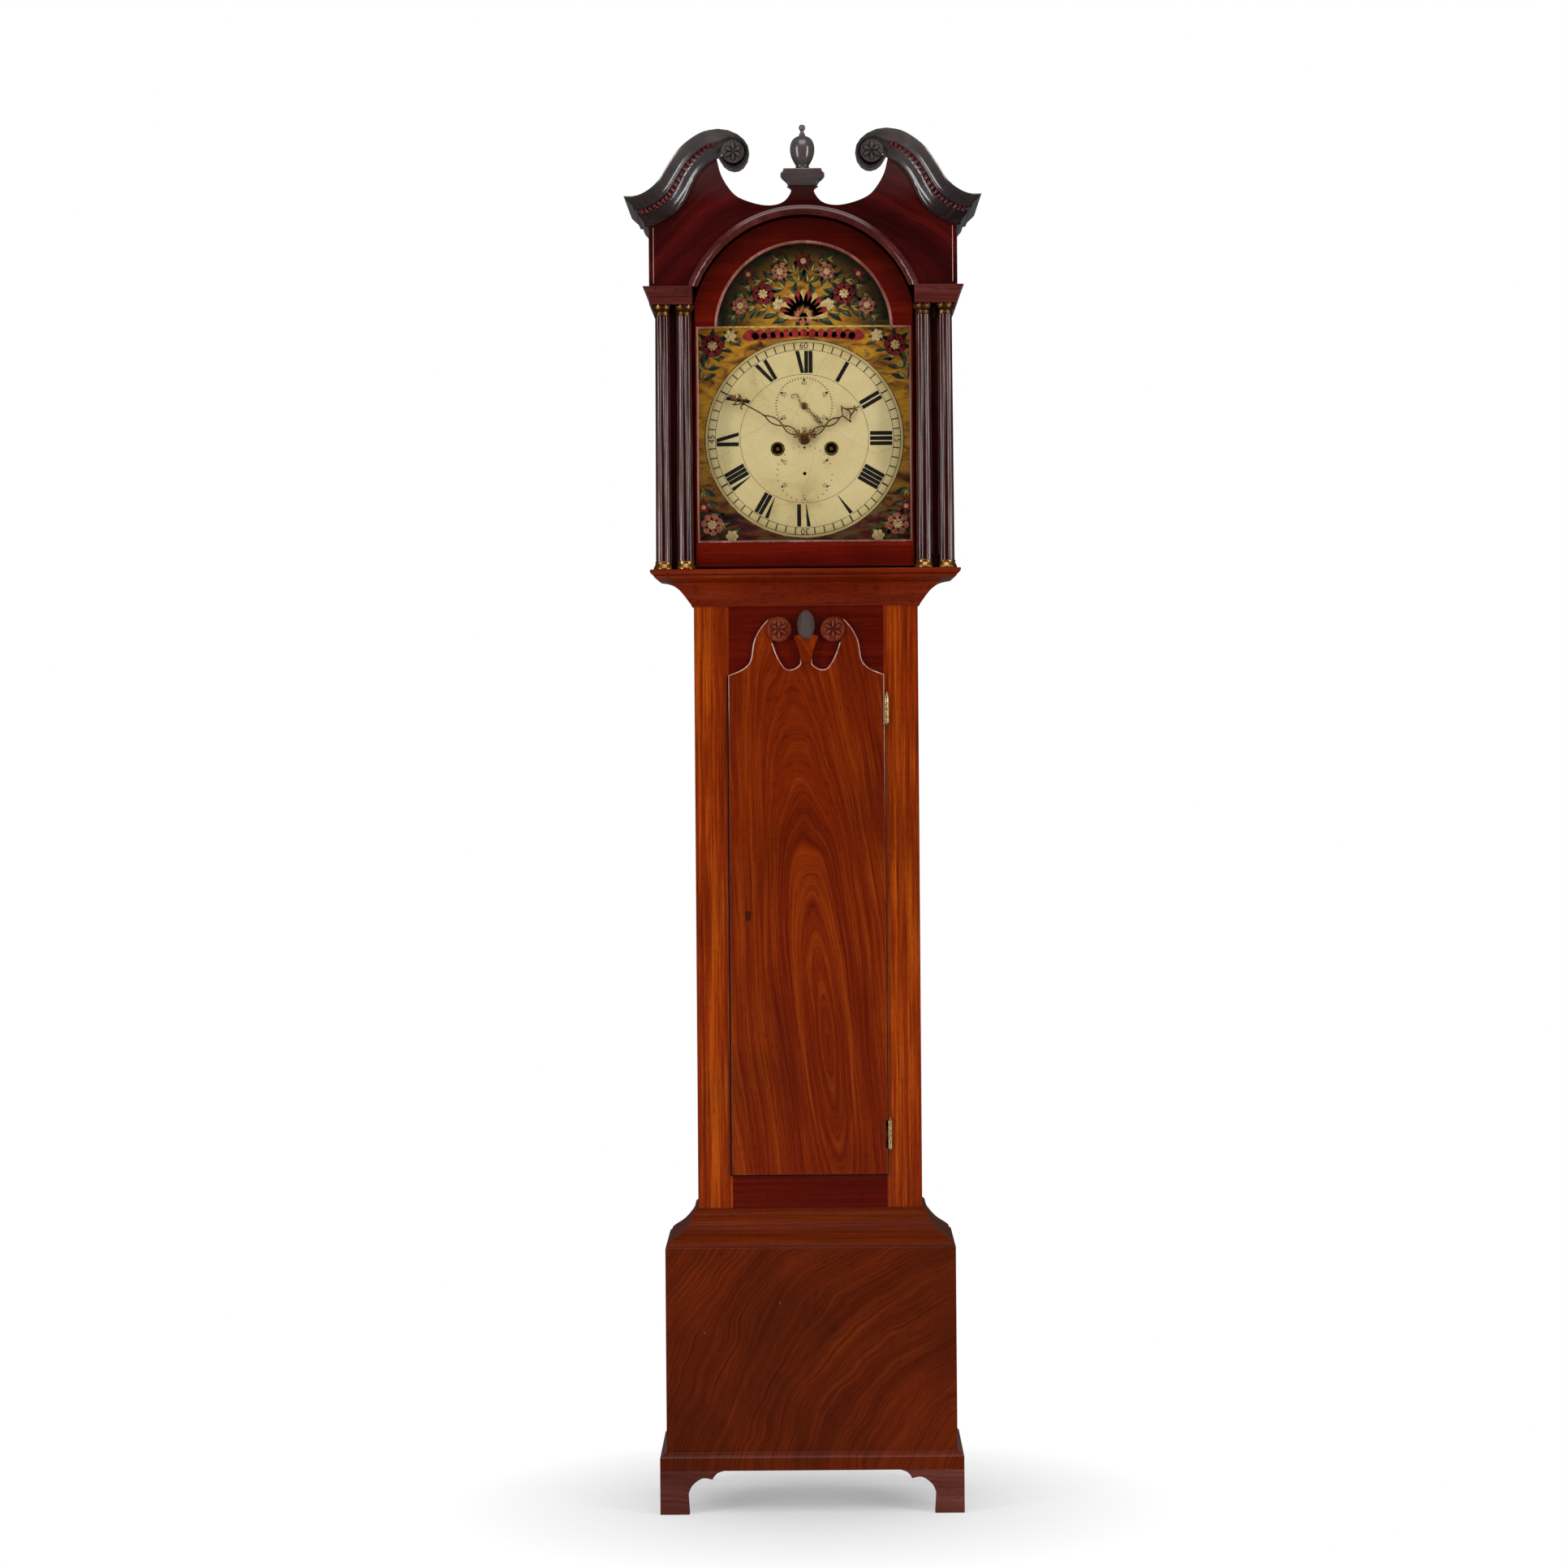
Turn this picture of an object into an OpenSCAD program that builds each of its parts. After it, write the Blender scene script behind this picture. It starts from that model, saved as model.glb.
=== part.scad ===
// Eight-day longcase clock with a swan-neck hood, a break-arch dial and bracket feet.
// Millimetres. +Z is up, the front faces -Y, and the origin is on the floor under the middle.

/* [Trunk] */
// Width of the trunk over its sides
trunk_w = 343; // [320:1:360]
// Depth of the trunk from front face to wall
trunk_d = 172; // [160:1:190]
// Thickness of the trunk's side boards
side_t = 18; // [12:1:20]
// Thickness of the trunk's front frame
front_t = 20; // [16:1:24]
// Thickness of the backboard
back_t = 14; // [10:1:18]
// Height where the visible trunk starts, above the waist moulding
trunk_z0 = 457.6; // [440:0.1:500]
// Height of the visible trunk
trunk_h = 921.2; // [880:0.1:960]

/* [Base] */
// How far the base stands out from the trunk on each side
base_out = 49.4; // [40:0.1:60]
// Height of the top of the base box
base_top_z = 403; // [380:0.5:430]
// Thickness of the base boards
base_t = 18; // [14:1:22]
// Height of the bracket feet
foot_h = 66; // [55:1:80]
// Thickness of the bracket feet
foot_t = 18; // [14:1:24]
// Height of the plinth moulding
plinth_h = 27.5; // [22:0.5:34]
// How far the plinth moulding and the feet stand out from the base box
plinth_out = 10; // [6:0.5:14]

/* [Trunk door] */
// Width of the trunk door
door_w = 238; // [228:1:246]
// How far the trunk door's lower edge stands above the waist moulding
door_rise = 51.4; // [40:0.1:65]
// How far the door's shoulders lie under the top of the trunk
door_head = 105.8; // [100:0.1:130]
// How far the door's lip covers the frame
door_lip = 8; // [5:0.5:10]
// Thickness of the lip in front of the frame
lip_t = 6; // [4:0.5:8]
// Thickness of the whole door
door_t = 18; // [14:0.5:20]
// Radius of the door's carved rosettes
door_rosette_r = 19; // [15:0.5:21]
// Height of the keyhole above the door's lower edge
keyhole_rise = 397; // [360:1:440]

/* [Hood] */
// How far the hood base stands out from the trunk on each side
hood_out = 64.4; // [58:0.2:70]
// Thickness of the hood's side boards
hood_side_t = 22; // [18:1:24]
// Thickness of the pediment board
tympanum_t = 16; // [12:1:18]
// Radius of the arched opening in the pediment board
hood_arch_r = 173; // [171:0.5:176]
// How far the arch's centre lies under the top of the capital blocks
arch_drop = 65.2; // [62:0.1:68]
// Radius of a column shaft at its foot
column_r = 12.5; // [11:0.25:13.5]
// Radius of a column shaft at its top
column_top_r = 11; // [9:0.25:12]
// Number of reeds round a column
reeds = 12; // [8:1:16]
// Radius of the brass capitals and bases
capital_r = 16; // [14:0.25:16.2]
// Height of a brass capital
capital_h = 16; // [12:0.5:20]
// Height of the capital block over each pair of columns
block_h = 27; // [22:0.5:32]
// How far the swan necks stand out from the pediment board
neck_out = 36; // [30:0.5:40]
// Number of dentils on each swan neck
dentils = 21; // [12:1:26]
// Radius of the scroll at a swan neck's end
scroll_r = 25; // [21:0.5:27]
// Radius of the finial's body
finial_r = 18.5; // [14:0.5:22]

/* [Hood door] */
// Half of the width of the glazed opening
glass_half = 162; // [158:0.5:163]
// Radius of the glazed arch
glass_arch_r = 134; // [130:0.5:138]
// Width of the door's side stiles
stile_w = 34; // [32:0.5:34.5]
// Height of the hood door's bottom rail
rail_h = 38; // [34:0.5:60]
// Thickness of the door
hood_door_t = 20; // [16:0.5:22]
// Thickness of the glass
glass_t = 2.5; // [2:0.1:3]

/* [Dial] */
// Width of the dial plate
dial_w = 330; // [322:1:336]
// How far the dial's centre lies under the arch's centre
dial_drop = 163; // [158:0.5:168]
// Radius of the dial's arch
dial_arch_r = 137; // [135:0.5:140]
// Thickness of the dial plate
dial_t = 2; // [1.5:0.1:3]
// Length of the minute hand
minute_len = 137; // [125:1:140]
// Length of the hour hand
hour_len = 97.5; // [85:0.5:105]
// Length of the seconds hand
seconds_len = 42; // [34:0.5:44]

/* [Movement] */
// Thickness of the brass plates
plate_t = 3.2; // [2.5:0.1:4]
// Distance between the plates
plate_gap = 64; // [62:0.5:66]
// Thickness of the wheels
wheel_t = 2; // [1.4:0.1:2.4]
// Radius of the arbors
arbor_r = 2.2; // [1.8:0.1:2.5]
// Radius of the pivots
pivot_r = 1.4; // [1:0.1:1.6]
// Radial clearance of every running fit
fit = 0.05; // [0.02:0.01:0.09]
// Radius of the line barrels and of the weight pulleys
barrel_r = 20; // [17:0.5:21]
// Radius of the gut lines
line_r = 0.8; // [0.5:0.1:1.2]
// Radius of the escape wheel at its tooth tips
escape_r = 20; // [18:0.25:21]
// Distance from the suspension to the middle of the bob
pendulum_len = 994; // [960:1:1010]
// Radius of the bob
bob_r = 57; // [45:1:62]
// Radius of a weight
weight_r = 31; // [24:0.5:33]
// Height of a weight
weight_h = 150; // [120:1:180]
// Radius of the bell
bell_r = 52; // [44:0.5:54]
// Radius of the screw hole through the backboard
wall_hole_r = 3; // [2:0.5:4]

/* [Hidden] */
$fn = 48;
mahogany = "#5a1408";
light_mahogany = "#8a3a10";
aged_brass = "#9a7636";
bright_brass = "#c09a50";
steel = "#8a8a88";

// main planes, measured from the wall forwards
half_w = trunk_w / 2;
full_d = trunk_d + hood_out + neck_out - 2;
wall_y = full_d / 2;
trunk_y = wall_y - trunk_d;
back_y = wall_y - back_t;
base_half = half_w + base_out;
base_y = trunk_y - base_out;
hood_half = half_w + hood_out;
hood_y = trunk_y - hood_out;
frieze_half = hood_half - 2;
frieze_y = hood_y + 2;
plinth_half = base_half + plinth_out;

// main heights
trunk_z1 = trunk_z0 + trunk_h;
support_h = 35.7;
support_z1 = trunk_z1 + support_h;
hood_z0 = support_z1 + 0.2;
hood_base_h = 19.5;
column_z0 = hood_z0 + hood_base_h;
hood_door_z0 = column_z0 + 4;
glass_z0 = hood_door_z0 + rail_h;
dial_cover = 6.2;
dial_z = glass_z0 + dial_w / 2 - dial_cover;
arch_z = dial_z + dial_drop;
block_z1 = arch_z + arch_drop;
block_z0 = block_z1 - block_h;
column_h = block_z0 - column_z0;
neck_h = 43;
roof_z0 = arch_z + hood_arch_r + 3;
neck_z0 = roof_z0 - 20.8;
roof_t = 8;
gap = 0.3;

// hood front, from the pediment board's face inwards
column_y = frieze_y + 19.5;
outer_x = frieze_half - 19;
inner_x = outer_x - 2 * capital_r - 1;
hood_door_y = frieze_y + tympanum_t + 4.5;
hood_door_half = glass_half + stile_w;
hood_side_x = hood_door_half - 8;
mask_y = hood_door_y + hood_door_t + 3;
mask_t = 6;
door_arch_r = hood_arch_r - 2;
block_x = hood_arch_r - 4.5;
pin_x = (outer_x + inner_x) / 2;
pin_y = column_y - 9;
pin_r = 2;

// dial and movement, with depths from the dial's face
dial_y = mask_y + mask_t + 12;
front_plate_y = dial_y + 32;
inner_y = front_plate_y + plate_t;
back_plate_y = inner_y + plate_gap;
plates_end_y = back_plate_y + plate_t;
plate_half = 80;
plate_low = 75;
plate_high = 90;
seat_t = 20;
seat_z = dial_z - plate_low - seat_t;
shoulder_z = arch_z + 4;

// arbor places as [x, z] from the dial centre
great_at = [41, -15.5];
third_at = [16, 26];
escape_at = [0, 50];
anchor_at = [0, 78];
minute_at = [22, 15.6];
strike_great_at = [-41, -15.5];
pin_at = [-37.6, 23];
gather_at = [-28.4, 48.2];
warn_at = [-32.3, 70.3];
fly_at = [-50.4, 63.7];
hammer_at = [-72, 20];
calendar_at = [0, -53.5];

// tooth counts
great_n = 96;
centre_pinion_n = 8;
centre_n = 60;
third_pinion_n = 8;
third_n = 56;
escape_pinion_n = 7;
escape_n = 30;
cannon_n = 36;
minute_pinion_n = 6;
hour_n = 72;
strike_great_n = 84;
pin_pinion_n = 8;
pin_n = 56;
gather_pinion_n = 7;
gather_n = 49;
warn_pinion_n = 7;
warn_n = 48;
fly_pinion_n = 7;

// depths of the wheels behind the front plate's inner face
great_dy = 53.8;
centre_dy = 59.3;
barrel_dy = 16.8;
barrel_len = 33;
third_dy = 22.8;
escape_dy = 45;
pin_dy = 6.8;
gather_dy = 32.8;
warn_dy = 22.8;
line_y = inner_y + barrel_dy + barrel_len / 2;
pinion_len = 6;

// pendulum, weights and bell
swing_z = dial_z + anchor_at[1];
swing_y = plates_end_y + 22;
bob_z = swing_z - pendulum_len;
bob_t = 26;
weight_x = great_at[0];
weight_z0 = 150;
pulley_z = weight_z0 + weight_h + 55;
line_z = dial_z + great_at[1];
bell_x = -5;
bell_y = line_y + 10;
bell_z = dial_z + 105;
bell_h = 46;

// trunk door and its lock
door_half = door_w / 2;
open_half = door_half - door_lip + 1.2;
door_z0 = trunk_z0 + door_rise;
door_z1 = trunk_z1 - door_head;
keyhole_z = door_z0 + keyhole_rise;
open_z0 = door_z0 + door_lip - 1.2;
open_z1 = door_z1 - 17;
door_y = trunk_y - lip_t;
knuckle_r = 3.4;
knuckle_x = door_half + knuckle_r + 0.6;
knuckle_y = trunk_y - knuckle_r - 0.6;
knuckle_h = 42;
hinge_zs = [door_z0 + 39, door_z1 - 74];
leaf_t = 1.6;
bolt_t = 5;
bolt_h = 19.6;
rosette_x = 41.5;
rosette_z = door_z1 + 70;
acorn_z = door_z1 + 54;
lock_x = -door_half + 27;
bolt_y = door_y + door_t - 7;

// points on an arc, from angle a0 to a1 in n steps
function arc(c, r, a0, a1, n) = [for (i = [0:n]) let (a = a0 + (a1 - a0) * i / n) c + r * [cos(a), sin(a)]];

// a smooth curve through a few points, n steps between each two
function bend_at(a, b, c, d, t) =
  0.5 * (2 * b + (c - a) * t + (2 * a - 5 * b + 4 * c - d) * t * t + (3 * b - a - 3 * c + d) * t * t * t);
function curve(p, n) = [
  for (i = [0:len(p) - 2])
    for (k = [0:(i == len(p) - 2 ? n : n - 1)])
      bend_at(p[max(i - 1, 0)], p[i], p[i + 1], p[min(i + 2, len(p) - 1)], k / n)
];
function backwards(p) = [for (i = [len(p) - 1:-1:0]) p[i]];
function flip(p) = [for (q = p) [-q[0], q[1]]];
function both(p) = concat(p, backwards(flip(p)));
function module_of(p, q, ta, tb) = 2 * norm(q - p) / (ta + tb);

// the turn of wheel b that puts its gap where wheel a, turned by turn_a, has a tooth
function mesh(p, q, turn_a, ta, tb) =
  let (line = atan2(q[1] - p[1], q[0] - p[0])) line + 180 + 180 / tb - (turn_a - line) * ta / tb;

// an outline drawn as seen from the front, made thick from y0 backwards
module board(y0, t) {
  translate([0, y0 + t, 0]) rotate([90, 0, 0]) linear_extrude(t) children();
}

// an outline drawn in [y, z], made thick from x0 to the right
module side_board(x0, t) {
  translate([x0, 0, 0]) rotate([90, 0, 90]) linear_extrude(t) children();
}

module rod(at, r, y0, y1) {
  translate([at[0], y1, dial_z + at[1]]) rotate([90, 0, 0]) cylinder(r = r, h = y1 - y0);
}

module box(x0, x1, y0, y1, z0, z1) {
  translate([x0, y0, z0]) cube([x1 - x0, y1 - y0, z1 - z0]);
}

module pair() {
  children();
  mirror([1, 0, 0]) children();
}

// a mitred moulding round the front and both sides; profile points are [how far out, height]
module surround(profile, half, face) {
  out = max([for (p = profile) p[0]]);
  high = max([for (p = profile) p[1]]);
  low = min([for (p = profile) p[1]]);
  intersection() {
    translate([-half - out, 0, 0]) rotate([90, 0, 90])
      linear_extrude(2 * (half + out)) polygon([for (p = profile) [face - p[0], p[1]]]);
    translate([0, 0, low - 1]) linear_extrude(high - low + 2)
      polygon([[-half - out, face - out], [half + out, face - out], [half, face], [-half, face]]);
  }
  pair() intersection() {
    translate([0, wall_y, 0]) rotate([90, 0, 0])
      linear_extrude(wall_y - face + out) polygon([for (p = profile) [half + p[0], p[1]]]);
    translate([0, 0, low - 1]) linear_extrude(high - low + 2)
      polygon([[half, face], [half + out, face - out], [half + out, wall_y], [half, wall_y]]);
  }
}

// case
module backboard() {
  wide = base_half - base_t;
  hood_wide = hood_side_x - 1.5;
  color(light_mahogany) difference() {
    board(back_y, back_t) polygon(both([
      [wide, foot_h], [wide, base_top_z], [half_w, base_top_z], [half_w, column_z0 + 1],
      [hood_wide, column_z0 + 1], [hood_wide, roof_z0 - 2]
    ]));
    translate([0, back_y - 1, dial_z + 265]) rotate([-90, 0, 0]) cylinder(r = wall_hole_r, h = back_t + 2);
  }
}

module trunk_sides() {
  color(light_mahogany) pair()
    box(half_w - side_t, half_w, trunk_y + front_t, back_y, base_top_z - 70, seat_z);
}

module trunk_front_frame() {
  color(mahogany) difference() {
    box(-half_w, half_w, trunk_y, trunk_y + front_t, base_top_z, support_z1);
    box(-open_half, open_half, trunk_y - 1, trunk_y + front_t + 1, open_z0, open_z1);
    for (z = hinge_zs)
      box(open_half - 1, knuckle_x + 1, trunk_y - 1, trunk_y + leaf_t, z - 0.2, z + knuckle_h + 0.2);
    box(-open_half - 10, 1 - open_half, bolt_y - gap, bolt_y + bolt_t + gap,
      keyhole_z - bolt_h / 2 - gap, keyhole_z + bolt_h / 2 + gap);
  }
}

module hood_support_moulding() {
  z = trunk_z1;
  hollow = arc([hood_out - 13, z], 42, 163, 100, 8);
  color(mahogany) surround(
    concat([[0, z], [3, z], [4, z + 3]], [for (p = hollow) [p[0], min(p[1], z + support_h - 3)]],
      [[hood_out - 20, z + support_h - 3], [hood_out - 20, z + support_h], [0, z + support_h]]),
    half_w, trunk_y);
}

module waist_moulding() {
  z = base_top_z;
  top = trunk_z0 - z;
  ogee = curve([[9, top - 12], [12, top - 20], [25, top - 35], [40, top - 45], [45, top - 49]], 3);
  color(mahogany) surround(
    concat([[0, z + top], [3, z + top], [3, z + top - 4], [8, z + top - 8]],
      [for (p = ogee) [p[0], z + p[1]]],
      [[46, z + top - 52], [base_out, z], [0, z]]),
    half_w, trunk_y);
}

module base_boards() {
  color(mahogany) {
    box(-base_half, base_half, base_y, base_y + base_t, foot_h, base_top_z);
    pair() box(base_half - base_t, base_half, base_y + base_t, wall_y, foot_h, base_top_z);
  }
}

module plinth_moulding() {
  z = foot_h;
  color(mahogany) surround(
    [[0, z], [plinth_out, z], [plinth_out, z + plinth_h - 8], [plinth_out - 3, z + plinth_h - 5],
      [plinth_out - 6, z + plinth_h - 2], [1.5, z + plinth_h], [0, z + plinth_h]],
    base_half, base_y);
}

// one face of a bracket foot: x runs inwards from the corner
function bracket(wide) = concat(
  [[0, 0], [wide * 0.46, 0]],
  curve([[wide * 0.44, foot_h * 0.45], [wide * 0.5, foot_h * 0.66], [wide * 0.66, foot_h * 0.83],
    [wide * 0.82, foot_h * 0.8]], 3),
  curve([[wide * 0.84, foot_h * 0.86], [wide * 0.9, foot_h * 0.95], [wide, foot_h]], 2),
  [[0, foot_h]]);

module bracket_feet() {
  wide = 97;
  back_wide = 70;
  front = base_y - plinth_out;
  reach = 200;
  color(mahogany) pair() {
    intersection() {
      board(front, foot_t) polygon([for (p = bracket(wide)) [plinth_half - p[0], p[1]]]);
      linear_extrude(reach)
        polygon([[plinth_half, front], [plinth_half - reach, front], [plinth_half - reach, front + reach]]);
    }
    intersection() {
      side_board(plinth_half - foot_t, foot_t) polygon([for (p = bracket(wide)) [front + p[0], p[1]]]);
      linear_extrude(reach)
        polygon([[plinth_half, front], [plinth_half, front + reach], [plinth_half - reach, front + reach]]);
    }
    side_board(plinth_half - foot_t, foot_t) polygon([for (p = bracket(back_wide)) [wall_y - p[0], p[1]]]);
  }
}

module seatboard() {
  y0 = trunk_y + front_t - 4;
  color(light_mahogany) difference() {
    box(-half_w, half_w, y0, plates_end_y + 11, seat_z, seat_z + seat_t);
    for (s = [-1, 1])
      for (x = [barrel_r + line_r, -barrel_r - line_r])
        translate([s * (weight_x + x), line_y, seat_z - 1]) cylinder(r = 6, h = seat_t + 2);
  }
}

// a knuckle that is part i of three on the hinge pin
module knuckle(z, i) {
  part = knuckle_h / 3;
  translate([knuckle_x, knuckle_y, z + i * part + 0.15]) difference() {
    cylinder(r = knuckle_r, h = part - 0.3);
    if (i == 1) translate([0, 0, -1]) cylinder(r = 1.5 + fit, h = part + 2);
  }
}

module trunk_hinge_leaves() {
  color(bright_brass) for (z = hinge_zs) {
    knuckle(z, 0);
    knuckle(z, 2);
    translate([knuckle_x, knuckle_y, z + 1]) cylinder(r = 1.5, h = knuckle_h - 2);
    for (i = [0, 2]) {
      z0 = z + i * knuckle_h / 3 + 0.2;
      z1 = z + (i + 1) * knuckle_h / 3 - 0.2;
      box(open_half + gap, knuckle_x + 0.8, trunk_y, trunk_y + leaf_t, z0, z1);
      box(knuckle_x - 0.8, knuckle_x + 0.8, knuckle_y, trunk_y + leaf_t, z0, z1);
    }
  }
}

// dial
module dial() {
  low = dial_z - dial_w / 2;
  high = shoulder_z + 3;
  color("#c8b987") difference() {
    board(dial_y, dial_t) union() {
      translate([-dial_w / 2, low]) square([dial_w, high - low]);
      translate([0, arch_z]) circle(r = dial_arch_r, $fn = 96);
    }
    for (at = [great_at, strike_great_at]) rod(at, 5.5, dial_y - 1, dial_y + 3);
    rod([0, 0], 5.6, dial_y - 1, dial_y + 3);
    rod(escape_at, 2, dial_y - 1, dial_y + 3);
    rod(calendar_at, 1.6, dial_y - 1, dial_y + 3);
  }
}

module dial_feet_and_pillars() {
  color(bright_brass) {
    for (x = [-68, 68])
      for (z = [-58, 72])
        rod([x, z], 3.5, dial_y + dial_t, front_plate_y);
    for (at = [[-70, -66], [0, -66], [70, -66], [-60, 82], [60, 82]]) {
      translate([at[0], inner_y, dial_z + at[1]]) rotate([-90, 0, 0]) rotate_extrude() polygon([
        [0, 0], [5, 0], [5, 4], [3, 7], [3, plate_gap / 2 - 5], [5, plate_gap / 2],
        [3, plate_gap / 2 + 5], [3, plate_gap - 7], [5, plate_gap - 4], [5, plate_gap], [0, plate_gap]
      ]);
    }
  }
}

// holes for the pivots of all arbors that run in the plates
module pivot_holes(y0) {
  small = [third_at, pin_at, gather_at, warn_at, fly_at, hammer_at];
  for (at = small) rod(at, pivot_r + fit, y0 - 1, y0 + plate_t + 1);
}

module plate_outline() {
  difference() {
    translate([-plate_half, dial_z - plate_low]) square([2 * plate_half, plate_low + plate_high]);
    for (x = [-plate_half, plate_half])
      translate([x, dial_z + plate_high]) circle(r = 9);
  }
}

module front_plate() {
  color(bright_brass) difference() {
    board(front_plate_y, plate_t) plate_outline();
    pivot_holes(front_plate_y);
    for (at = [great_at, strike_great_at]) rod(at, 3.5 + fit, front_plate_y - 1, inner_y + 1);
    rod([0, 0], arbor_r + fit, front_plate_y - 1, inner_y + 1);
    rod(escape_at, pivot_r + fit, front_plate_y - 1, inner_y + 1);
    rod(anchor_at, pivot_r + fit, front_plate_y - 1, inner_y + 1);
  }
}

module back_plate() {
  color(bright_brass) difference() {
    board(back_plate_y, plate_t) plate_outline();
    pivot_holes(back_plate_y);
    for (at = [great_at, strike_great_at]) rod(at, pivot_r + fit, back_plate_y - 1, plates_end_y + 1);
    rod([0, 0], pivot_r + fit, back_plate_y - 1, plates_end_y + 1);
    rod(escape_at, pivot_r + fit, back_plate_y - 1, plates_end_y + 1);
    rod(anchor_at, 6, back_plate_y - 1, plates_end_y + 1);
  }
}

// bracket that carries the anchor's rear pivot and the pendulum's suspension
module back_cock() {
  y1 = plates_end_y + 12;
  z = swing_z;
  color(bright_brass) difference() {
    union() {
      pair() box(16, 24, plates_end_y, y1, z - 6, z + 7);
      box(-24, 24, y1, y1 + 3, z - 6, z + 7);
      box(-7, 7, y1 + 3, swing_y - 2, z - 4, z + 7);
      box(-7, 7, swing_y + 2, swing_y + 5, z - 4, z + 7);
      box(-7, 7, swing_y - 2, swing_y + 2, z + 4, z + 7);
    }
    rod(anchor_at, pivot_r + fit, y1 - 1, y1 + 4);
    rod(anchor_at, 1.2 + fit, swing_y - 6, swing_y + 6);
  }
}

// bell on the standard that is screwed to the back plate
module bell() {
  outer = [for (p = arc([0, 0], 1, 0, 84, 12)) [p[0] * bell_r, p[1] * bell_h]];
  inner = [for (p = arc([0, 0], 1, 84, 0, 12)) [p[0] * (bell_r - 3), p[1] * (bell_h - 3)]];
  crown = bell_z + bell_h;
  color(bright_brass) translate([bell_x, bell_y, bell_z]) rotate_extrude($fn = 64) polygon(concat(outer, inner));
  color(steel) {
    translate([bell_x, bell_y, bell_z - 6]) cylinder(r = 2.5, h = bell_h + 12);
    translate([bell_x, bell_y, crown - 0.5]) cylinder(r = 5.6, h = 4.6);
    translate([bell_x, bell_y, crown - 8]) cylinder(r = 5.6, h = 5.5);
    box(bell_x - 5, bell_x + 5, bell_y - 5, plates_end_y + 2.4, bell_z - 9, bell_z - 6);
    box(bell_x - 5, bell_x + 5, plates_end_y, plates_end_y + 2.4, dial_z + plate_high - 2, bell_z - 9);
  }
}

// hood
module hood_base_frame() {
  z = hood_z0;
  clear = 2.4;
  out = hood_out - clear;
  color(mahogany) difference() {
    surround(
      concat([[0, z], [out - 18, z], [out - 15, z + 1]], [for (p = arc([out - 15, z + 11], 10, -80, -10, 4)) p],
        [[out - 3, z + 11], [out, z + 13.5], [out, z + hood_base_h], [0, z + hood_base_h]]),
      half_w + clear, trunk_y - clear);
    translate([pin_x, pin_y, z + 6]) cylinder(r = pin_r + fit, h = hood_base_h);
  }
}

module hood_boards() {
  color(mahogany) {
    pair() box(hood_side_x, hood_side_x + hood_side_t, mask_y, wall_y, column_z0, block_z0);
    pair() box(frieze_half - 16, frieze_half, frieze_y + tympanum_t, wall_y, block_z1, roof_z0 + roof_t);
    box(-frieze_half + 16, frieze_half - 16, frieze_y + tympanum_t, wall_y, roof_z0, roof_z0 + roof_t);
  }
}

// the swan neck's upper and lower edges as seen from the front, from the hood's corner inwards
scroll_out = 127;
neck_span = (frieze_half - scroll_out) / 100;
function outwards(points) = [for (p = points) [scroll_out + p[0] * neck_span, neck_z0 + p[1]]];
neck_top = curve(concat([[frieze_half + neck_out, neck_z0 + 43]], outwards([[115.1, 44], [98.2, 53], [84.2, 67],
  [73, 87], [56.1, 113], [37.4, 130], [19.6, 140], [0, 143.5]])), 3);
neck_low = curve(outwards([[100, 0], [88.9, 4], [70.2, 15], [57.1, 26], [45.8, 43], [37.4, 63], [28.1, 81],
  [13.1, 97], [1.4, 102.5]]), 3);
// the scroll's outer edge runs on from the neck's upper edge and round the eye
scroll_at = [104.7, neck_z0 + 110.5];
eye_r = scroll_r / 2;
scroll_edge = [for (p = [[127, 143.5], [111.7, 141.5], [97.5, 135.2], [88, 127.3], [81.7, 117.8], [80.1, 109.1],
  [82.5, 97.2], [88.8, 87.8], [95.9, 83.3], [103, 82.2], [111.7, 84.6], [118.8, 90.1], [122.4, 95.7],
  [127, 103.5]]) [p[0], neck_z0 + p[1]]];
// section of the swan neck as [share of its width, share of its projection]
neck_profile = [[0, 0], [0, 0.14], [0.12, 0.17], [0.24, 0.27], [0.34, 0.38], [0.40, 0.42], [0.42, 0.425],
  [0.56, 0.44], [0.57, 0.60], [0.63, 0.62], [0.72, 0.68], [0.83, 0.82], [0.93, 0.95], [1, 1], [1, 0]];
stem_z = neck_z0 + 61;

module tympanum() {
  backing = [for (i = [4:22])
    let (p = neck_low[i] + 0.8 * (neck_top[i] - neck_low[i])) [min(p[0], frieze_half), p[1]]];
  bay = curve([[129, neck_z0 + 100], [123.5, neck_z0 + 79], [112, neck_z0 + 59], [98, neck_z0 + 45],
    [72, neck_z0 + 35], [48, neck_z0 + 32], [28, neck_z0 + 38], [17, neck_z0 + 54], [24, stem_z]], 3);
  foot = sqrt(pow(hood_arch_r, 2) - pow(block_z1 - arch_z, 2));
  color(mahogany) board(frieze_y, tympanum_t) difference() {
    polygon(both(concat([[foot - 4, block_z1], [frieze_half, block_z1], [frieze_half, neck_z0 + 20]], backing, bay)));
    translate([0, arch_z]) circle(r = hood_arch_r, $fn = 120);
  }
}

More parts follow.
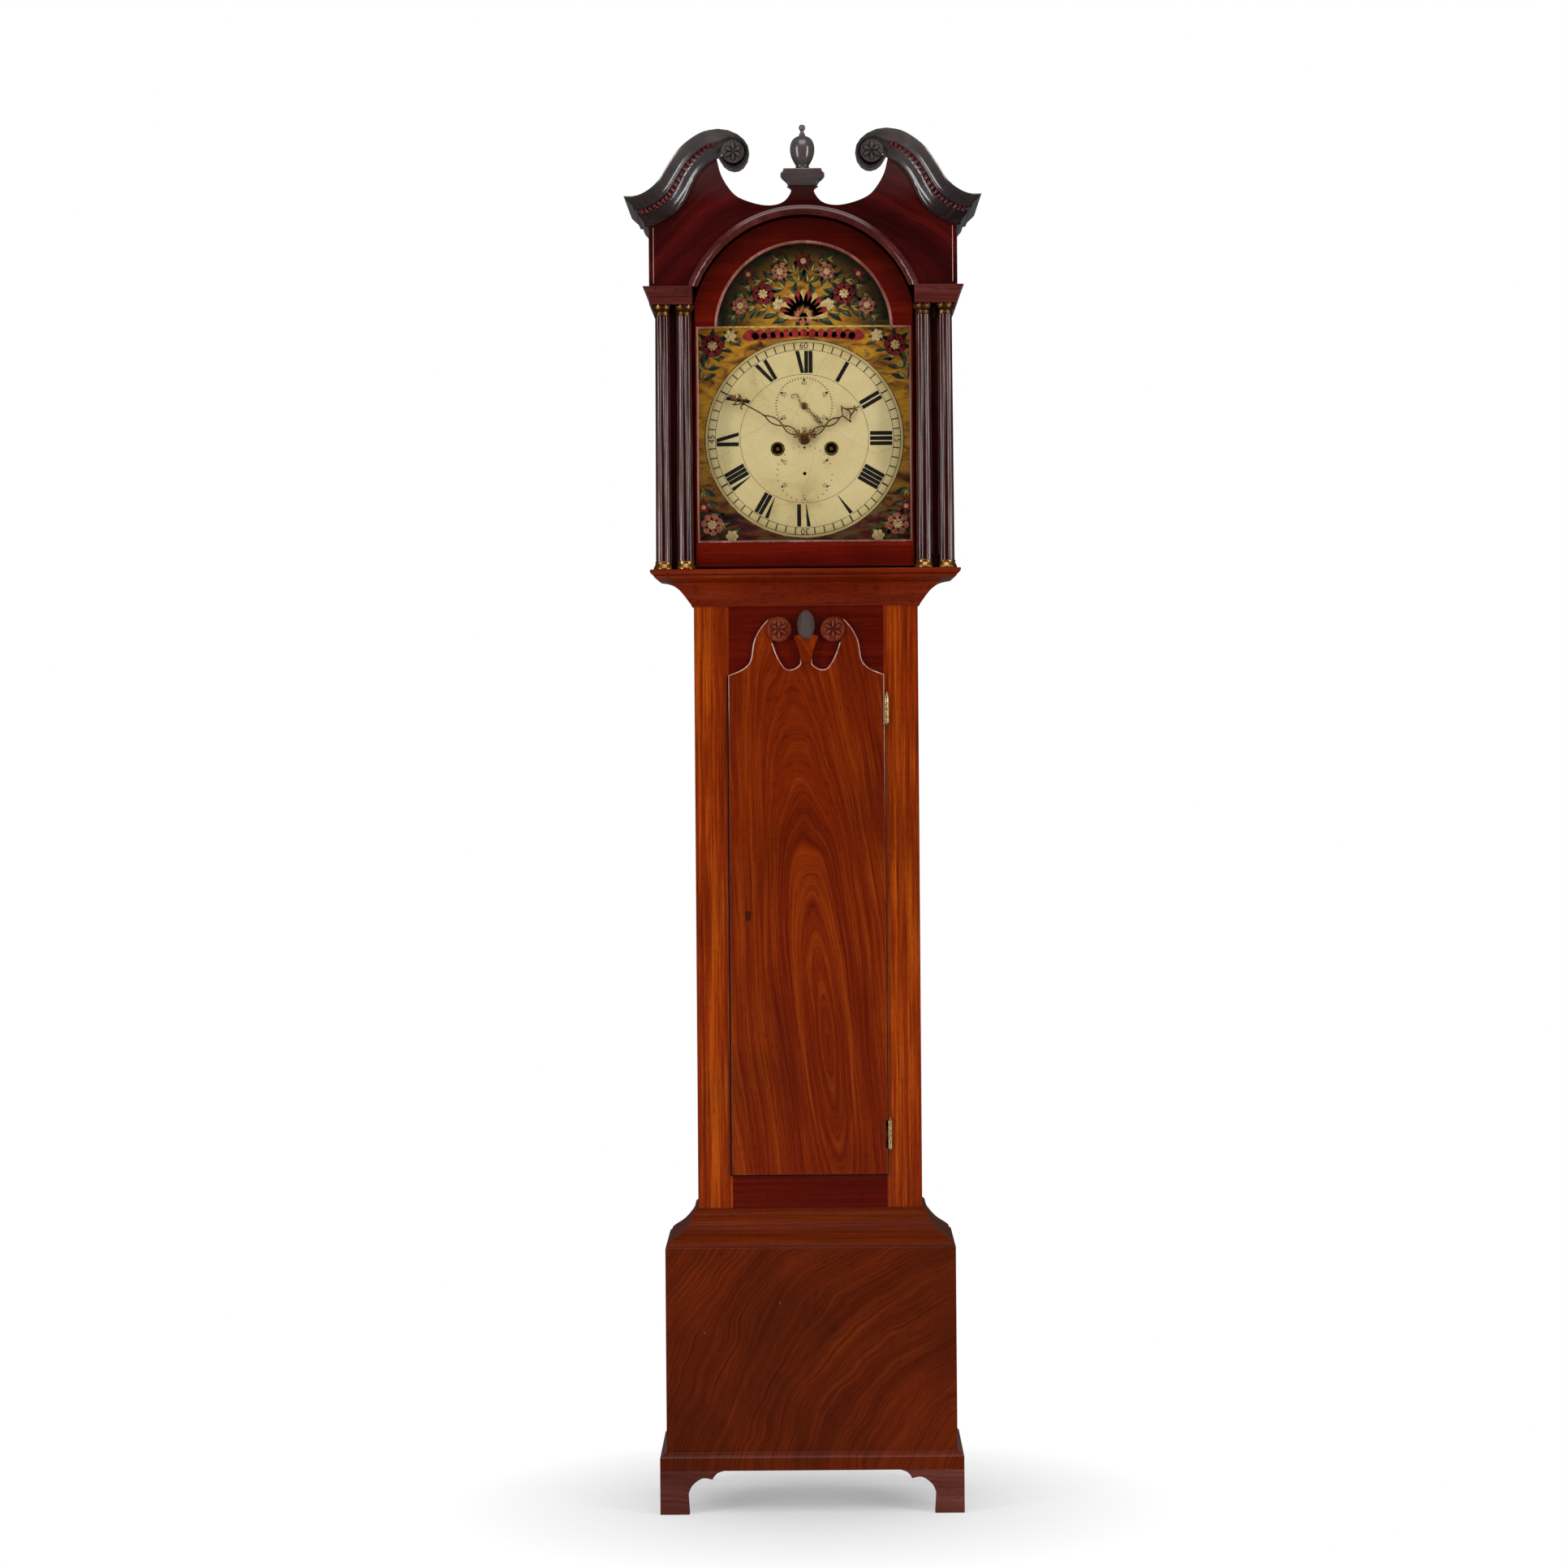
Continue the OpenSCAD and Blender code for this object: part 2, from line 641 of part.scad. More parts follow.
// capital blocks at both sides and the half-round moulding over the arch
module capital_and_arch_moulding() {
  low = block_z0;
  plain = 12;
  out = 9;
  face = hood_y + 2;
  color(mahogany) difference() {
    pair() {
      box(block_x, frieze_half, face, mask_y, low, low + plain);
      box(frieze_half - 45.9, frieze_half, mask_y, wall_y, low, low + plain);
      intersection() {
        translate([block_x, 0, 0]) rotate([90, 0, 90]) linear_extrude(200)
          polygon([[mask_y, low + plain], [mask_y, block_z1], [face - out, block_z1], [face - out, block_z1 - 2],
            [face - 4, block_z1 - 8], [face - 2, low + plain]]);
        translate([0, 0, low]) linear_extrude(block_h)
          polygon([[block_x, face - out], [frieze_half + out, face - out], [frieze_half, face], [frieze_half, mask_y],
            [block_x, mask_y]]);
      }
      intersection() {
        translate([0, wall_y, 0]) rotate([90, 0, 0]) linear_extrude(wall_y - face + out)
          polygon([[frieze_half - 45.9, low + plain], [frieze_half - 45.9, block_z1], [frieze_half + out, block_z1],
            [frieze_half + out, block_z1 - 2], [frieze_half + 4, block_z1 - 8], [frieze_half + 2, low + plain]]);
        translate([0, 0, low]) linear_extrude(block_h)
          polygon([[frieze_half, face], [frieze_half + out, face - out], [frieze_half + out, wall_y],
            [frieze_half - 45.9, wall_y], [frieze_half - 45.9, mask_y], [frieze_half, mask_y]]);
      }
    }
    translate([pin_x, pin_y, low - 1]) cylinder(r = pin_r + fit, h = 9);
  }
  color(mahogany) translate([0, frieze_y, arch_z]) rotate([90, 0, 0]) difference() {
    rotate_extrude($fn = 120) polygon([
      [hood_arch_r, 0], [hood_arch_r, 3], [hood_arch_r + 3, 5], [hood_arch_r + 5, 8], [hood_arch_r + 8, 9],
      [hood_arch_r + 11, 7.5], [hood_arch_r + 12, 4], [hood_arch_r + 14, 3], [hood_arch_r + 14, 0]
    ]);
    translate([-400, -800.5 + (block_z1 - arch_z), -1]) cube([800, 800, 20]);
  }
}

// a reeded shaft that tapers upwards
module column_shaft(x, z0, h) {
  steps = 4;
  outline = [for (i = [0:reeds - 1]) for (k = [0:steps - 1])
    let (a = 360 * (i + k / steps) / reeds, r = column_r - 1.4 * (1 - sin(180 * k / steps))) r * [cos(a), sin(a)]];
  translate([x, column_y, z0]) linear_extrude(h, scale = column_top_r / column_r) polygon(outline);
}

module column_brass(x, z0, h, small_r, up) {
  shape = [[0, 0], [capital_r, 0], [capital_r, h * 0.2], [capital_r - 1.2, h * 0.32], [capital_r - 1.2, h * 0.45],
    [small_r + 1, h * 0.6], [small_r + 0.2, h * 0.75], [small_r + 1.2, h * 0.85], [small_r + 0.6, h], [0, h]];
  translate([x, column_y, z0]) rotate_extrude()
    polygon([for (p = shape) [p[0], up ? h - p[1] : p[1]]]);
}

base_brass_h = 12;
module outer_columns() {
  color(mahogany) pair() column_shaft(outer_x, column_z0 + base_brass_h, column_h - base_brass_h - capital_h);
}

module outer_column_brasses() {
  color(aged_brass) pair() {
    column_brass(outer_x, column_z0, base_brass_h, column_r, false);
    column_brass(outer_x, block_z0 - capital_h, capital_h, column_top_r, true);
  }
}

// joins rings of points into one closed skin, whose ends fan out from each ring's last point
module skin(rings) {
  n = len(rings[0]);
  last = len(rings) - 1;
  polyhedron(
    points = [for (r = rings) for (p = r) p],
    faces = concat(
      [for (i = [0:last - 1]) for (k = [0:n - 1]) [i * n + k, (i + 1) * n + (k + 1) % n, i * n + (k + 1) % n]],
      [for (i = [0:last - 1]) for (k = [0:n - 1]) [i * n + k, (i + 1) * n + k, (i + 1) * n + (k + 1) % n]],
      [for (k = [0:n - 3]) [n - 1, k, k + 1]],
      [for (k = [0:n - 3]) [last * n + n - 1, last * n + k + 1, last * n + k]]),
    convexity = 8);
}

function across(low, top) = [for (p = neck_profile)
  let (at = low + p[0] * (top - low)) [at[0], frieze_y - neck_out * p[1], at[1]]];
function neck_ring(i) = across(neck_low[i], neck_top[i]);
function scroll_ring(i) =
  let (p = scroll_edge[i], d = p - scroll_at)
  across(i == 0 ? neck_low[len(neck_low) - 1] : scroll_at + eye_r * d / norm(d), p);
function return_ring(y, mitre) = [for (p = neck_profile)
  [frieze_half + neck_out * p[1], y - mitre * neck_out * p[1], neck_z0 + neck_h * p[0]]];

module dentil(i) {
  span = len(neck_low) - 2;
  s = (i + 0.5) / dentils * span;
  k = floor(s);
  low = neck_low[k] + (s - k) * (neck_low[k + 1] - neck_low[k]);
  top = neck_top[k] + (s - k) * (neck_top[k + 1] - neck_top[k]);
  at = low + 0.485 * (top - low);
  turn = atan2(top[1] - low[1], top[0] - low[0]);
  translate([at[0], frieze_y - neck_out * 0.38, at[1]]) rotate([90, -turn, 0])
    translate([-3.4, -2.4, 0]) cube([6.8, 4.8, 5.5]);
}

module swan_necks() {
  color(mahogany) pair() {
    skin(concat([return_ring(frieze_y, 1)], [for (i = [1:len(neck_low) - 1]) neck_ring(i)]));
    skin([return_ring(wall_y, 0), return_ring(frieze_y, 1)]);
    skin([for (i = [0:len(scroll_edge) - 1]) scroll_ring(i)]);
    for (i = [1:dentils - 1]) dentil(i);
    translate([scroll_at[0], frieze_y, scroll_at[1]]) rotate([90, 0, 0]) cylinder(r = eye_r + 1, h = neck_out * 0.6);
  }
}

// a six-petalled flower, standing out from its back at y
module rosette(x, z, y, r, t) {
  petal = [for (i = [0:71]) let (a = 5 * i) r * (0.74 + 0.24 * abs(cos(3 * a))) * [cos(a), sin(a)]];
  translate([x, y, z]) rotate([90, 0, 0]) {
    linear_extrude(t * 0.6) polygon(petal);
    cylinder(r = r * 0.4, h = t);
  }
}

module pediment_rosettes() {
  color(mahogany) pair() rosette(scroll_at[0], scroll_at[1], frieze_y - neck_out * 0.6, eye_r, 4);
}

module finial() {
  front = frieze_y - 1;
  color(mahogany) {
    box(-18, 18, front, frieze_y + tympanum_t, stem_z, stem_z + 26);
    for (s = [[22, 0, 4], [27, 4, 11], [33.5, 11, 19], [29.2, 19, 26]])
      box(-s[0], s[0], front + 3, frieze_y + tympanum_t, stem_z + s[1], stem_z + s[2]);
    translate([0, frieze_y + tympanum_t / 2, stem_z + 26]) rotate_extrude() polygon(concat(
      [[0, 0], [12.5, 0], [12, 1.2], [10, 3], [10, 5]],
      [for (p = curve([[11.5, 8], [14.8, 14], [17.5, 21], [finial_r, 29], [finial_r - 0.8, 37], [15.5, 43.5], [11, 48],
        [5.5, 50.5]], 3)) p],
      [[4.2, 51.5], [4.6, 52.6], [4.2, 53.7], [3, 55], [2.9, 58.2]],
      arc([0, 63], 5, -60, 90, 6)));
  }
}

module glazed_outline(grow) {
  translate([-glass_half - grow, glass_z0 - grow])
    square([2 * (glass_half + grow), shoulder_z - glass_z0 + 2 * grow]);
  translate([0, arch_z]) circle(r = glass_arch_r + grow, $fn = 96);
}

module dial_mask() {
  color(light_mahogany) difference() {
    box(-hood_side_x, hood_side_x, mask_y, mask_y + mask_t, column_z0, roof_z0 - 1);
    board(mask_y - 1, mask_t + 2) glazed_outline(0);
  }
}

// hood door
hood_door_z1 = block_z0 - 1;

module hood_door_frame() {
  color(mahogany) difference() {
    union() {
      box(-hood_door_half, hood_door_half, hood_door_y, hood_door_y + hood_door_t, hood_door_z0, hood_door_z1);
      board(hood_door_y, hood_door_t) intersection() {
        translate([0, arch_z]) circle(r = door_arch_r, $fn = 120);
        translate([-200, hood_door_z1 - 1]) square([400, 300]);
      }
    }
    board(hood_door_y - 1, hood_door_t + 2) glazed_outline(0);
    board(hood_door_y + hood_door_t / 2 + 3, hood_door_t) glazed_outline(5);
    for (x = [-inner_x, inner_x])
      translate([x, column_y, column_z0 - 1]) cylinder(r = capital_r + gap, h = column_h + 2);
  }
}

module hood_door_glass() {
  color("#c8dcd880") board(hood_door_y + hood_door_t / 2 + 3, glass_t) glazed_outline(4.8);
}

module hood_door_columns() {
  z0 = hood_door_z0 + base_brass_h - 3;
  color(mahogany) for (x = [-inner_x, inner_x])
    column_shaft(x, z0, block_z0 - gap - capital_h - z0);
}

module hood_door_brasses() {
  z0 = column_z0 + gap;
  z1 = block_z0 - gap;
  arm = 4;
  color(aged_brass) {
    for (x = [-inner_x, inner_x]) {
      column_brass(x, z0, hood_door_z0 + base_brass_h - 3 - z0, column_r, false);
      column_brass(x, z1 - capital_h, capital_h, column_top_r, true);
    }
    for (z = [hood_door_z0 + 14, hood_door_z1 - 22])
      box(pin_x - arm / 2 - 2, pin_x + arm / 2, pin_y - 2, hood_door_y, z, z + 3);
    translate([pin_x, pin_y, column_z0 - 8]) cylinder(r = pin_r, h = hood_door_z0 + 17 - column_z0 + 8);
    translate([pin_x, pin_y, hood_door_z1 - 22]) cylinder(r = pin_r, h = block_z0 + 6 - hood_door_z1 + 22);
  }
}

// trunk door
door_edge = curve([[door_half, door_z1], [100, door_z1 + 8], [88.5, door_z1 + 17], [83.5, door_z1 + 28],
  [80, door_z1 + 50], [71, door_z1 + 70], [58.5, door_z1 + 85], [rosette_x, rosette_z + door_rosette_r]], 3);
door_bay = curve([[53, rosette_z - 16], [44, door_z1 + 28], [32, door_z1 + 10], [20, door_z1 + 9],
  [9.5, door_z1 + 16], [8.5, door_z1 + 24], [12, door_z1 + 44], [17, acorn_z]], 3);

module trunk_door_panel() {
  outline = both(concat([[door_half, door_z0]], door_edge,
    arc([rosette_x, rosette_z], door_rosette_r, 90, 305, 14), door_bay));
  inner_half = open_half - 1.4;
  color(mahogany) union() {
    difference() {
      board(door_y, lip_t - gap) polygon(outline);
      for (z = hinge_zs) box(door_half - 3, door_half + 9, door_y - 1, trunk_y + 1, z - 1, z + knuckle_h + 1);
    }
    difference() {
      box(-inner_half, inner_half, door_y + lip_t - gap - 1, door_y + door_t, open_z0 + 1.4, open_z1 - 1.4);
      box(lock_x - 18, lock_x + 14, door_y + door_t - 9, door_y + door_t + 1, keyhole_z - 26, keyhole_z + 26);
      box(-inner_half - 1, lock_x, bolt_y - gap, bolt_y + bolt_t + gap, keyhole_z - 12, keyhole_z + 12);
    }
  }
}

module trunk_door_carving() {
  color(mahogany) {
    pair() rosette(rosette_x, rosette_z, door_y, door_rosette_r - 1, 5);
    intersection() {
      translate([0, door_y + 1, acorn_z + 22]) rotate_extrude() polygon(concat(
        [[0, -23]], [for (a = [-75:15:75]) [13.3 * cos(a), 23 * sin(a)]], [[0, 23]]));
      box(-20, 20, door_y - 20, trunk_y - gap, acorn_z + 0.1, acorn_z + 60);
    }
    board(door_y - 6, 6) polygon(both(curve([[8, door_z1 + 20], [11, door_z1 + 38], [17, acorn_z],
      [18, acorn_z + 5], [14, acorn_z + 7]], 3)));
  }
}

module trunk_door_brasses() {
  color(bright_brass) {
    translate([lock_x, 0, keyhole_z]) difference() {
      board(door_y - 1, 1) union() {
        translate([0, 2.5]) circle(r = 4.2);
        translate([-3.2, -8]) square([6.4, 9]);
      }
      board(door_y - 2, 3) union() {
        translate([0, 2.5]) circle(r = 1.8);
        translate([-1, -6]) square([2, 8]);
      }
    }
    difference() {
      box(lock_x - 17.5, lock_x + 13.5, door_y + door_t - 8.5, door_y + door_t, keyhole_z - 25.5, keyhole_z + 25.5);
      box(lock_x - 40, lock_x + 6, bolt_y - 0.2, bolt_y + bolt_t + 0.2,
        keyhole_z - bolt_h / 2 - 0.2, keyhole_z + bolt_h / 2 + 0.2);
    }
    for (z = hinge_zs) {
      knuckle(z, 1);
      box(door_half - 3 + gap, knuckle_x - 1.5 - fit, door_y + 1, door_y + 2.6,
        z + knuckle_h / 3 + 0.3, z + 2 * knuckle_h / 3 - 0.3);
    }
  }
}

module lock_bolt() {
  color(steel) box(lock_x - 18, lock_x + 2, bolt_y, bolt_y + bolt_t,
    keyhole_z - bolt_h / 2, keyhole_z + bolt_h / 2);
}

// wheels and pinions
module teeth(n, m, turn) {
  r = n * m / 2;
  p = 360 / n;
  small = n < 20;
  out = small ? 0.55 : 1.15;
  in = small ? 1.6 : 1.5;
  tip = small ? 0.16 : 0.15;
  mid = small ? 0.34 : 0.40;
  root = small ? 0.22 : 0.46;
  polygon([for (i = [0:n - 1]) for (k = [[-in, -root], [0, -mid], [out, -tip], [out, tip], [0, mid], [-in, root]])
    let (a = turn + p * (i + k[1] / 2), q = r + k[0] * m) q * [cos(a), sin(a)]]);
}

// the four arms and rim left by crossing out a wheel
module crossings(r, hub, arm, turn) {
  rim = r - hub > 14 ? 4.2 : 3.2;
  for (q = [0:3]) rotate(turn + 90 * q) difference() {
    intersection() {
      circle(r = r - rim);
      translate([arm / 2, arm / 2]) square(r);
    }
    circle(r = hub);
  }
}

module wheel(at, y, n, m, turn, bore, hub, arm) {
  r = n * m / 2;
  translate([at[0], 0, dial_z + at[1]]) board(y, wheel_t) difference() {
    teeth(n, m, turn);
    crossings(r - 1.5 * m, hub, arm, 20);
    if (bore > 0) circle(r = bore);
  }
}

module pinion(at, y, n, m, turn, length) {
  translate([at[0], 0, dial_z + at[1]]) board(y, length) teeth(n, m, turn);
}

// a plain arbor with a pivot in each plate
module arbor(at, r = arbor_r) {
  rod(at, pivot_r, front_plate_y, plates_end_y);
  rod(at, r, inner_y + gap, back_plate_y - gap);
}

great_turn = mesh([0, 0], great_at, 0, centre_pinion_n, great_n);
third_turn = mesh([0, 0], third_at, 0, centre_n, third_pinion_n);
escape_turn = mesh(third_at, escape_at, 0, third_n, escape_pinion_n);
minute_turn = mesh([0, 0], minute_at, 0, cannon_n, cannon_n);
hour_turn = mesh(minute_at, [0, 0], 0, minute_pinion_n, hour_n);
pin_turn = mesh(gather_at, pin_at, 0, gather_pinion_n, pin_n);
strike_turn = mesh(pin_at, strike_great_at, 0, pin_pinion_n, strike_great_n);
warn_turn = mesh(gather_at, warn_at, 0, gather_n, warn_pinion_n);
fly_turn = mesh(warn_at, fly_at, 0, warn_n, fly_pinion_n);

// a great wheel turns freely on its barrel's arbor
module great_wheel(at, other, n, n_other, turn) {
  wheel(at, inner_y + great_dy, n, module_of(at, other, n, n_other), turn, 3.5 + fit, 9, 5);
}

module barrel(at) {
  y0 = inner_y + barrel_dy;
  square_w = 5;
  rod(at, 3.5, front_plate_y, back_plate_y - gap);
  rod(at, pivot_r, back_plate_y - gap, plates_end_y);
  rod(at, barrel_r, y0, y0 + barrel_len);
  rod(at, barrel_r + 3, y0, y0 + 1.5);
  translate([at[0], 0, dial_z + at[1]]) board(y0 + barrel_len, 2.4) polygon([for (i = [0:23])
    for (k = [0, 1]) let (a = 15 * (i + (k == 0 ? 0 : 0.12))) (barrel_r + (k == 0 ? 3.4 : 0.6)) * [cos(a), sin(a)]]);
  translate([at[0] - square_w / 2, dial_y + 1, dial_z + at[1] - square_w / 2])
    cube([square_w, front_plate_y - dial_y - 1, square_w]);
}

module going_great_wheel() {
  color(bright_brass) great_wheel(great_at, [0, 0], great_n, centre_pinion_n, great_turn);
}

module going_barrel() {
  color(bright_brass) barrel(great_at);
}

cannon_y = front_plate_y - 7;
hour_y = cannon_y - 5;
module centre_wheel() {
  m = module_of([0, 0], great_at, centre_pinion_n, great_n);
  color(bright_brass) {
    rod([0, 0], pivot_r, back_plate_y - gap, plates_end_y);
    rod([0, 0], arbor_r, dial_y - 17, back_plate_y - gap);
    pinion([0, 0], inner_y + great_dy - 2, centre_pinion_n, m, 0, pinion_len - 1.2);
    wheel([0, 0], inner_y + centre_dy, centre_n, module_of([0, 0], third_at, centre_n, third_pinion_n), 0, 0, 6, 4);
    wheel([0, 0], cannon_y, cannon_n, module_of([0, 0], minute_at, cannon_n, cannon_n), 0, 0, 8, 4);
    rod([0, 0], 3.2, dial_y - 12, cannon_y + 1);
  }
}

module minute_wheel() {
  m = module_of([0, 0], minute_at, minute_pinion_n, hour_n);
  color(bright_brass) {
    wheel(minute_at, cannon_y, cannon_n, module_of([0, 0], minute_at, cannon_n, cannon_n), minute_turn, 0, 6, 4);
    pinion(minute_at, hour_y - 2, minute_pinion_n, m, 0, cannon_y - hour_y + 2);
    rod(minute_at, 1, hour_y - 3, front_plate_y - gap);
  }
}

// hour wheel on its pipe, with the stepped snail that sets the number of blows
module hour_wheel() {
  m = module_of([0, 0], minute_at, minute_pinion_n, hour_n);
  pipe_r = 4.6;
  snail_y = hour_y - 5;
  snail = [for (h = [0:11]) for (k = [0:3]) let (a = 210 - 30 * (h + k / 3), r = 21 - 1.1 * h) r * [cos(a), sin(a)]];
  color(bright_brass) difference() {
    union() {
      wheel([0, 0], hour_y, hour_n, m, hour_turn, 0, 9, 5);
      translate([0, 0, dial_z]) board(snail_y, 1.6) polygon(snail);
      rod([0, 0], pipe_r, dial_y - 7, hour_y + wheel_t);
    }
    rod([0, 0], 3.2 + fit, dial_y - 8, hour_y + wheel_t + 1);
  }
}

module third_wheel() {
  color(bright_brass) {
    arbor(third_at);
    pinion(third_at, inner_y + centre_dy - 2, third_pinion_n,
      module_of([0, 0], third_at, centre_n, third_pinion_n), third_turn, pinion_len - 0.4);
    wheel(third_at, inner_y + third_dy, third_n,
      module_of(third_at, escape_at, third_n, escape_pinion_n), 0, 0, 6, 4);
  }
}

// recoil escape wheel; its tooth tips stand midway between the pallets' places at rest
module escape_wheel() {
  p = 360 / escape_n;
  root = escape_r - 4;
  tips = [for (i = [0:escape_n - 1]) for (k = [[root, -0.30], [escape_r, 0.06], [escape_r, 0.14], [root, 0.22]])
    let (a = p * (i + 0.4 + k[1])) k[0] * [cos(a), sin(a)]];
  color(bright_brass) {
    rod(escape_at, pivot_r, dial_y - 4, plates_end_y);
    rod(escape_at, arbor_r - 0.4, inner_y + gap, back_plate_y - gap);
    pinion(escape_at, inner_y + third_dy - 2, escape_pinion_n,
      module_of(third_at, escape_at, third_n, escape_pinion_n), escape_turn, pinion_len);
    translate([escape_at[0], 0, dial_z + escape_at[1]]) board(inner_y + escape_dy, wheel_t) difference() {
      polygon(tips);
      crossings(root, 5, 3, 20);
    }
  }
}

// anchor with its two pallets, arbor and crutch
module anchor() {
  span = 42;
  rest = escape_r + 1;
  tip = [rest * sin(span), escape_at[1] + rest * cos(span)];
  drop = 112;
  fork_z = swing_z - drop;
  crutch_y = plates_end_y + 4;
  color(steel) {
    rod(anchor_at, pivot_r, front_plate_y, plates_end_y + 15);
    rod(anchor_at, arbor_r + 1, inner_y + gap, crutch_y + 3);
    translate([0, 0, dial_z]) board(inner_y + escape_dy - 1, 4) {
      pair() polygon([anchor_at + [-1, -2.6], tip + [0, 4.2], tip + [0.3, 1], tip, tip + [1.2, 0.5],
        tip + [3.4, 5], anchor_at + [2, 3.4], anchor_at + [-1, 4]]);
      translate(anchor_at) circle(r = 5);
    }
    box(-1.6, 1.6, crutch_y, crutch_y + 2, fork_z - 1, swing_z);
    box(-7.4, 7.4, crutch_y, crutch_y + 2, fork_z - 2.4, fork_z);
    pair() box(5, 7.4, crutch_y + 1, swing_y + 6, fork_z - 2.4, fork_z);
  }
}

module pendulum_rod() {
  nut_z = bob_z - bob_r - 7 - gap;
  color(steel) {
    rod(anchor_at, 1.2, swing_y - 5, swing_y + 5);
    box(-4, 4, swing_y - 0.4, swing_y + 0.4, swing_z - 34, swing_z);
    box(-4.5, 4.5, swing_y - 3, swing_y + 3, swing_z - 46, swing_z - 34);
    translate([0, swing_y, nut_z - 12]) cylinder(r = 3, h = swing_z - 46 - nut_z + 12);
    translate([0, swing_y, nut_z]) cylinder(r = 9, h = 7);
    box(-4.6, 4.6, swing_y - 3.6, swing_y + 3.6, swing_z - 122, swing_z - 104);
  }
}

module pendulum_bob() {
  half_t = bob_t / 2;
  rim = 2.5;
  round_r = (pow(bob_r, 2) + pow(half_t - rim, 2)) / (2 * (half_t - rim));
  face = [for (i = [0:8]) let (r = bob_r * i / 8) [r, rim + sqrt(pow(round_r, 2) - pow(r, 2)) - round_r + half_t - rim]];
  color(bright_brass) difference() {
    translate([0, swing_y, bob_z]) rotate([90, 0, 0]) rotate_extrude($fn = 64)
      polygon(concat(face, backwards([for (p = face) [p[0], -p[1]]])));
    translate([0, swing_y, bob_z - bob_r - 1]) cylinder(r = 3 + fit, h = 2 * bob_r + 2);
  }
}

// striking train
module strike_great_wheel() {
  color(bright_brass) great_wheel(strike_great_at, pin_at, strike_great_n, pin_pinion_n, strike_turn);
}

module strike_barrel() {
  color(bright_brass) barrel(strike_great_at);
}

module pin_wheel() {
  pins = 8;
  color(bright_brass) {
    arbor(pin_at);
    pinion(pin_at, inner_y + great_dy - 2, pin_pinion_n,
      module_of(strike_great_at, pin_at, strike_great_n, pin_pinion_n), 0, pinion_len);
    wheel(pin_at, inner_y + pin_dy, pin_n, module_of(pin_at, gather_at, pin_n, gather_pinion_n), pin_turn, 0, 6, 4);
    for (i = [0:pins - 1])
      rod(pin_at + 19.8 * [cos(360 * i / pins), sin(360 * i / pins)], 0.9,
        inner_y + pin_dy + wheel_t - 0.5, inner_y + pin_dy + wheel_t + 4);
  }
}

module gathering_wheel() {
  color(bright_brass) {
    arbor(gather_at, arbor_r - 0.4);
    pinion(gather_at, inner_y + pin_dy - 2, gather_pinion_n,
      module_of(pin_at, gather_at, pin_n, gather_pinion_n), 0, pinion_len);
    wheel(gather_at, inner_y + gather_dy, gather_n,
      module_of(gather_at, warn_at, gather_n, warn_pinion_n), 0, 0, 5, 3);
  }
}

module warning_wheel() {
  color(bright_brass) {
    arbor(warn_at, pivot_r);
    pinion(warn_at, inner_y + gather_dy - 2, warn_pinion_n,
      module_of(gather_at, warn_at, gather_n, warn_pinion_n), warn_turn, pinion_len);
    wheel(warn_at, inner_y + warn_dy, warn_n, module_of(warn_at, fly_at, warn_n, fly_pinion_n), 0, 0, 5, 3);
  }
}

module fly() {
  vane = 14;
  color(bright_brass) {
    arbor(fly_at, pivot_r);
    pinion(fly_at, inner_y + warn_dy - 2, fly_pinion_n, module_of(warn_at, fly_at, warn_n, fly_pinion_n),
      fly_turn, pinion_len);
    box(fly_at[0] - vane, fly_at[0] + vane, inner_y + 37, inner_y + 57, dial_z + fly_at[1] - 0.5,
      dial_z + fly_at[1] + 0.5);
  }
}

module hammer() {
  x = hammer_at[0];
  z = dial_z + hammer_at[1];
  y = bell_y;
  head_z = bell_z + 3;
  color(steel) {
    arbor(hammer_at);
    box(x - 2, x + 1.5, y - 1.5, y + 1.5, z, head_z + 4);
    translate([x - 4, y, head_z]) rotate([0, 90, 0]) cylinder(r = 6, h = bell_x - bell_r - 1.2 - x + 4);
    box(x, x + 13, inner_y + pin_dy + wheel_t + 1, inner_y + pin_dy + wheel_t + 4, z - 1.5, z + 1.5);
  }
}

// weights hang in a stirrup under a pulley
module weight(x) {
  z1 = weight_z0 + weight_h;
  side = line_r * 2 + 2.4;
  translate([x, line_y, 0]) {
    translate([0, 0, weight_z0]) rotate_extrude() polygon([
      [0, 0], [weight_r - 3, 0], [weight_r, 3], [weight_r, weight_h - 6], [weight_r - 6, weight_h], [0, weight_h]
    ]);
    translate([0, 0, z1 - 1]) cylinder(r = 2, h = 22);
    box(-5, 5, -side - 1.6, side + 1.6, z1 + 18, z1 + 21);
    for (s = [-1, 1]) box(-4, 4, s * (side + 0.8) - 0.8, s * (side + 0.8) + 0.8, z1 + 18, pulley_z + 5);
    translate([0, side + 1, pulley_z]) rotate([90, 0, 0]) cylinder(r = pivot_r, h = 2 * side + 2);
  }
}

module going_weight() {
  color("#4a4a48") weight(weight_x);
}

module strike_weight() {
  color("#4a4a48") weight(-weight_x);
}

// grooved pulley that hangs in the loop of its line
module pulley(x) {
  half = line_r * 2 + 2.4 - gap;
  color(aged_brass) translate([x, line_y, pulley_z]) rotate([90, 0, 0]) difference() {
    rotate_extrude() polygon([
      [pivot_r + fit, -half], [barrel_r + 2, -half], [barrel_r, -line_r], [barrel_r, line_r],
      [barrel_r + 2, half], [pivot_r + fit, half]
    ]);
    for (k = [0:4]) rotate([0, 0, 72 * k]) translate([12, 0, -half - 1]) cylinder(r = 4, h = 2 * half + 2);
  }
}

module going_pulley() {
  pulley(weight_x);
}

module strike_pulley() {
  pulley(-weight_x);
}

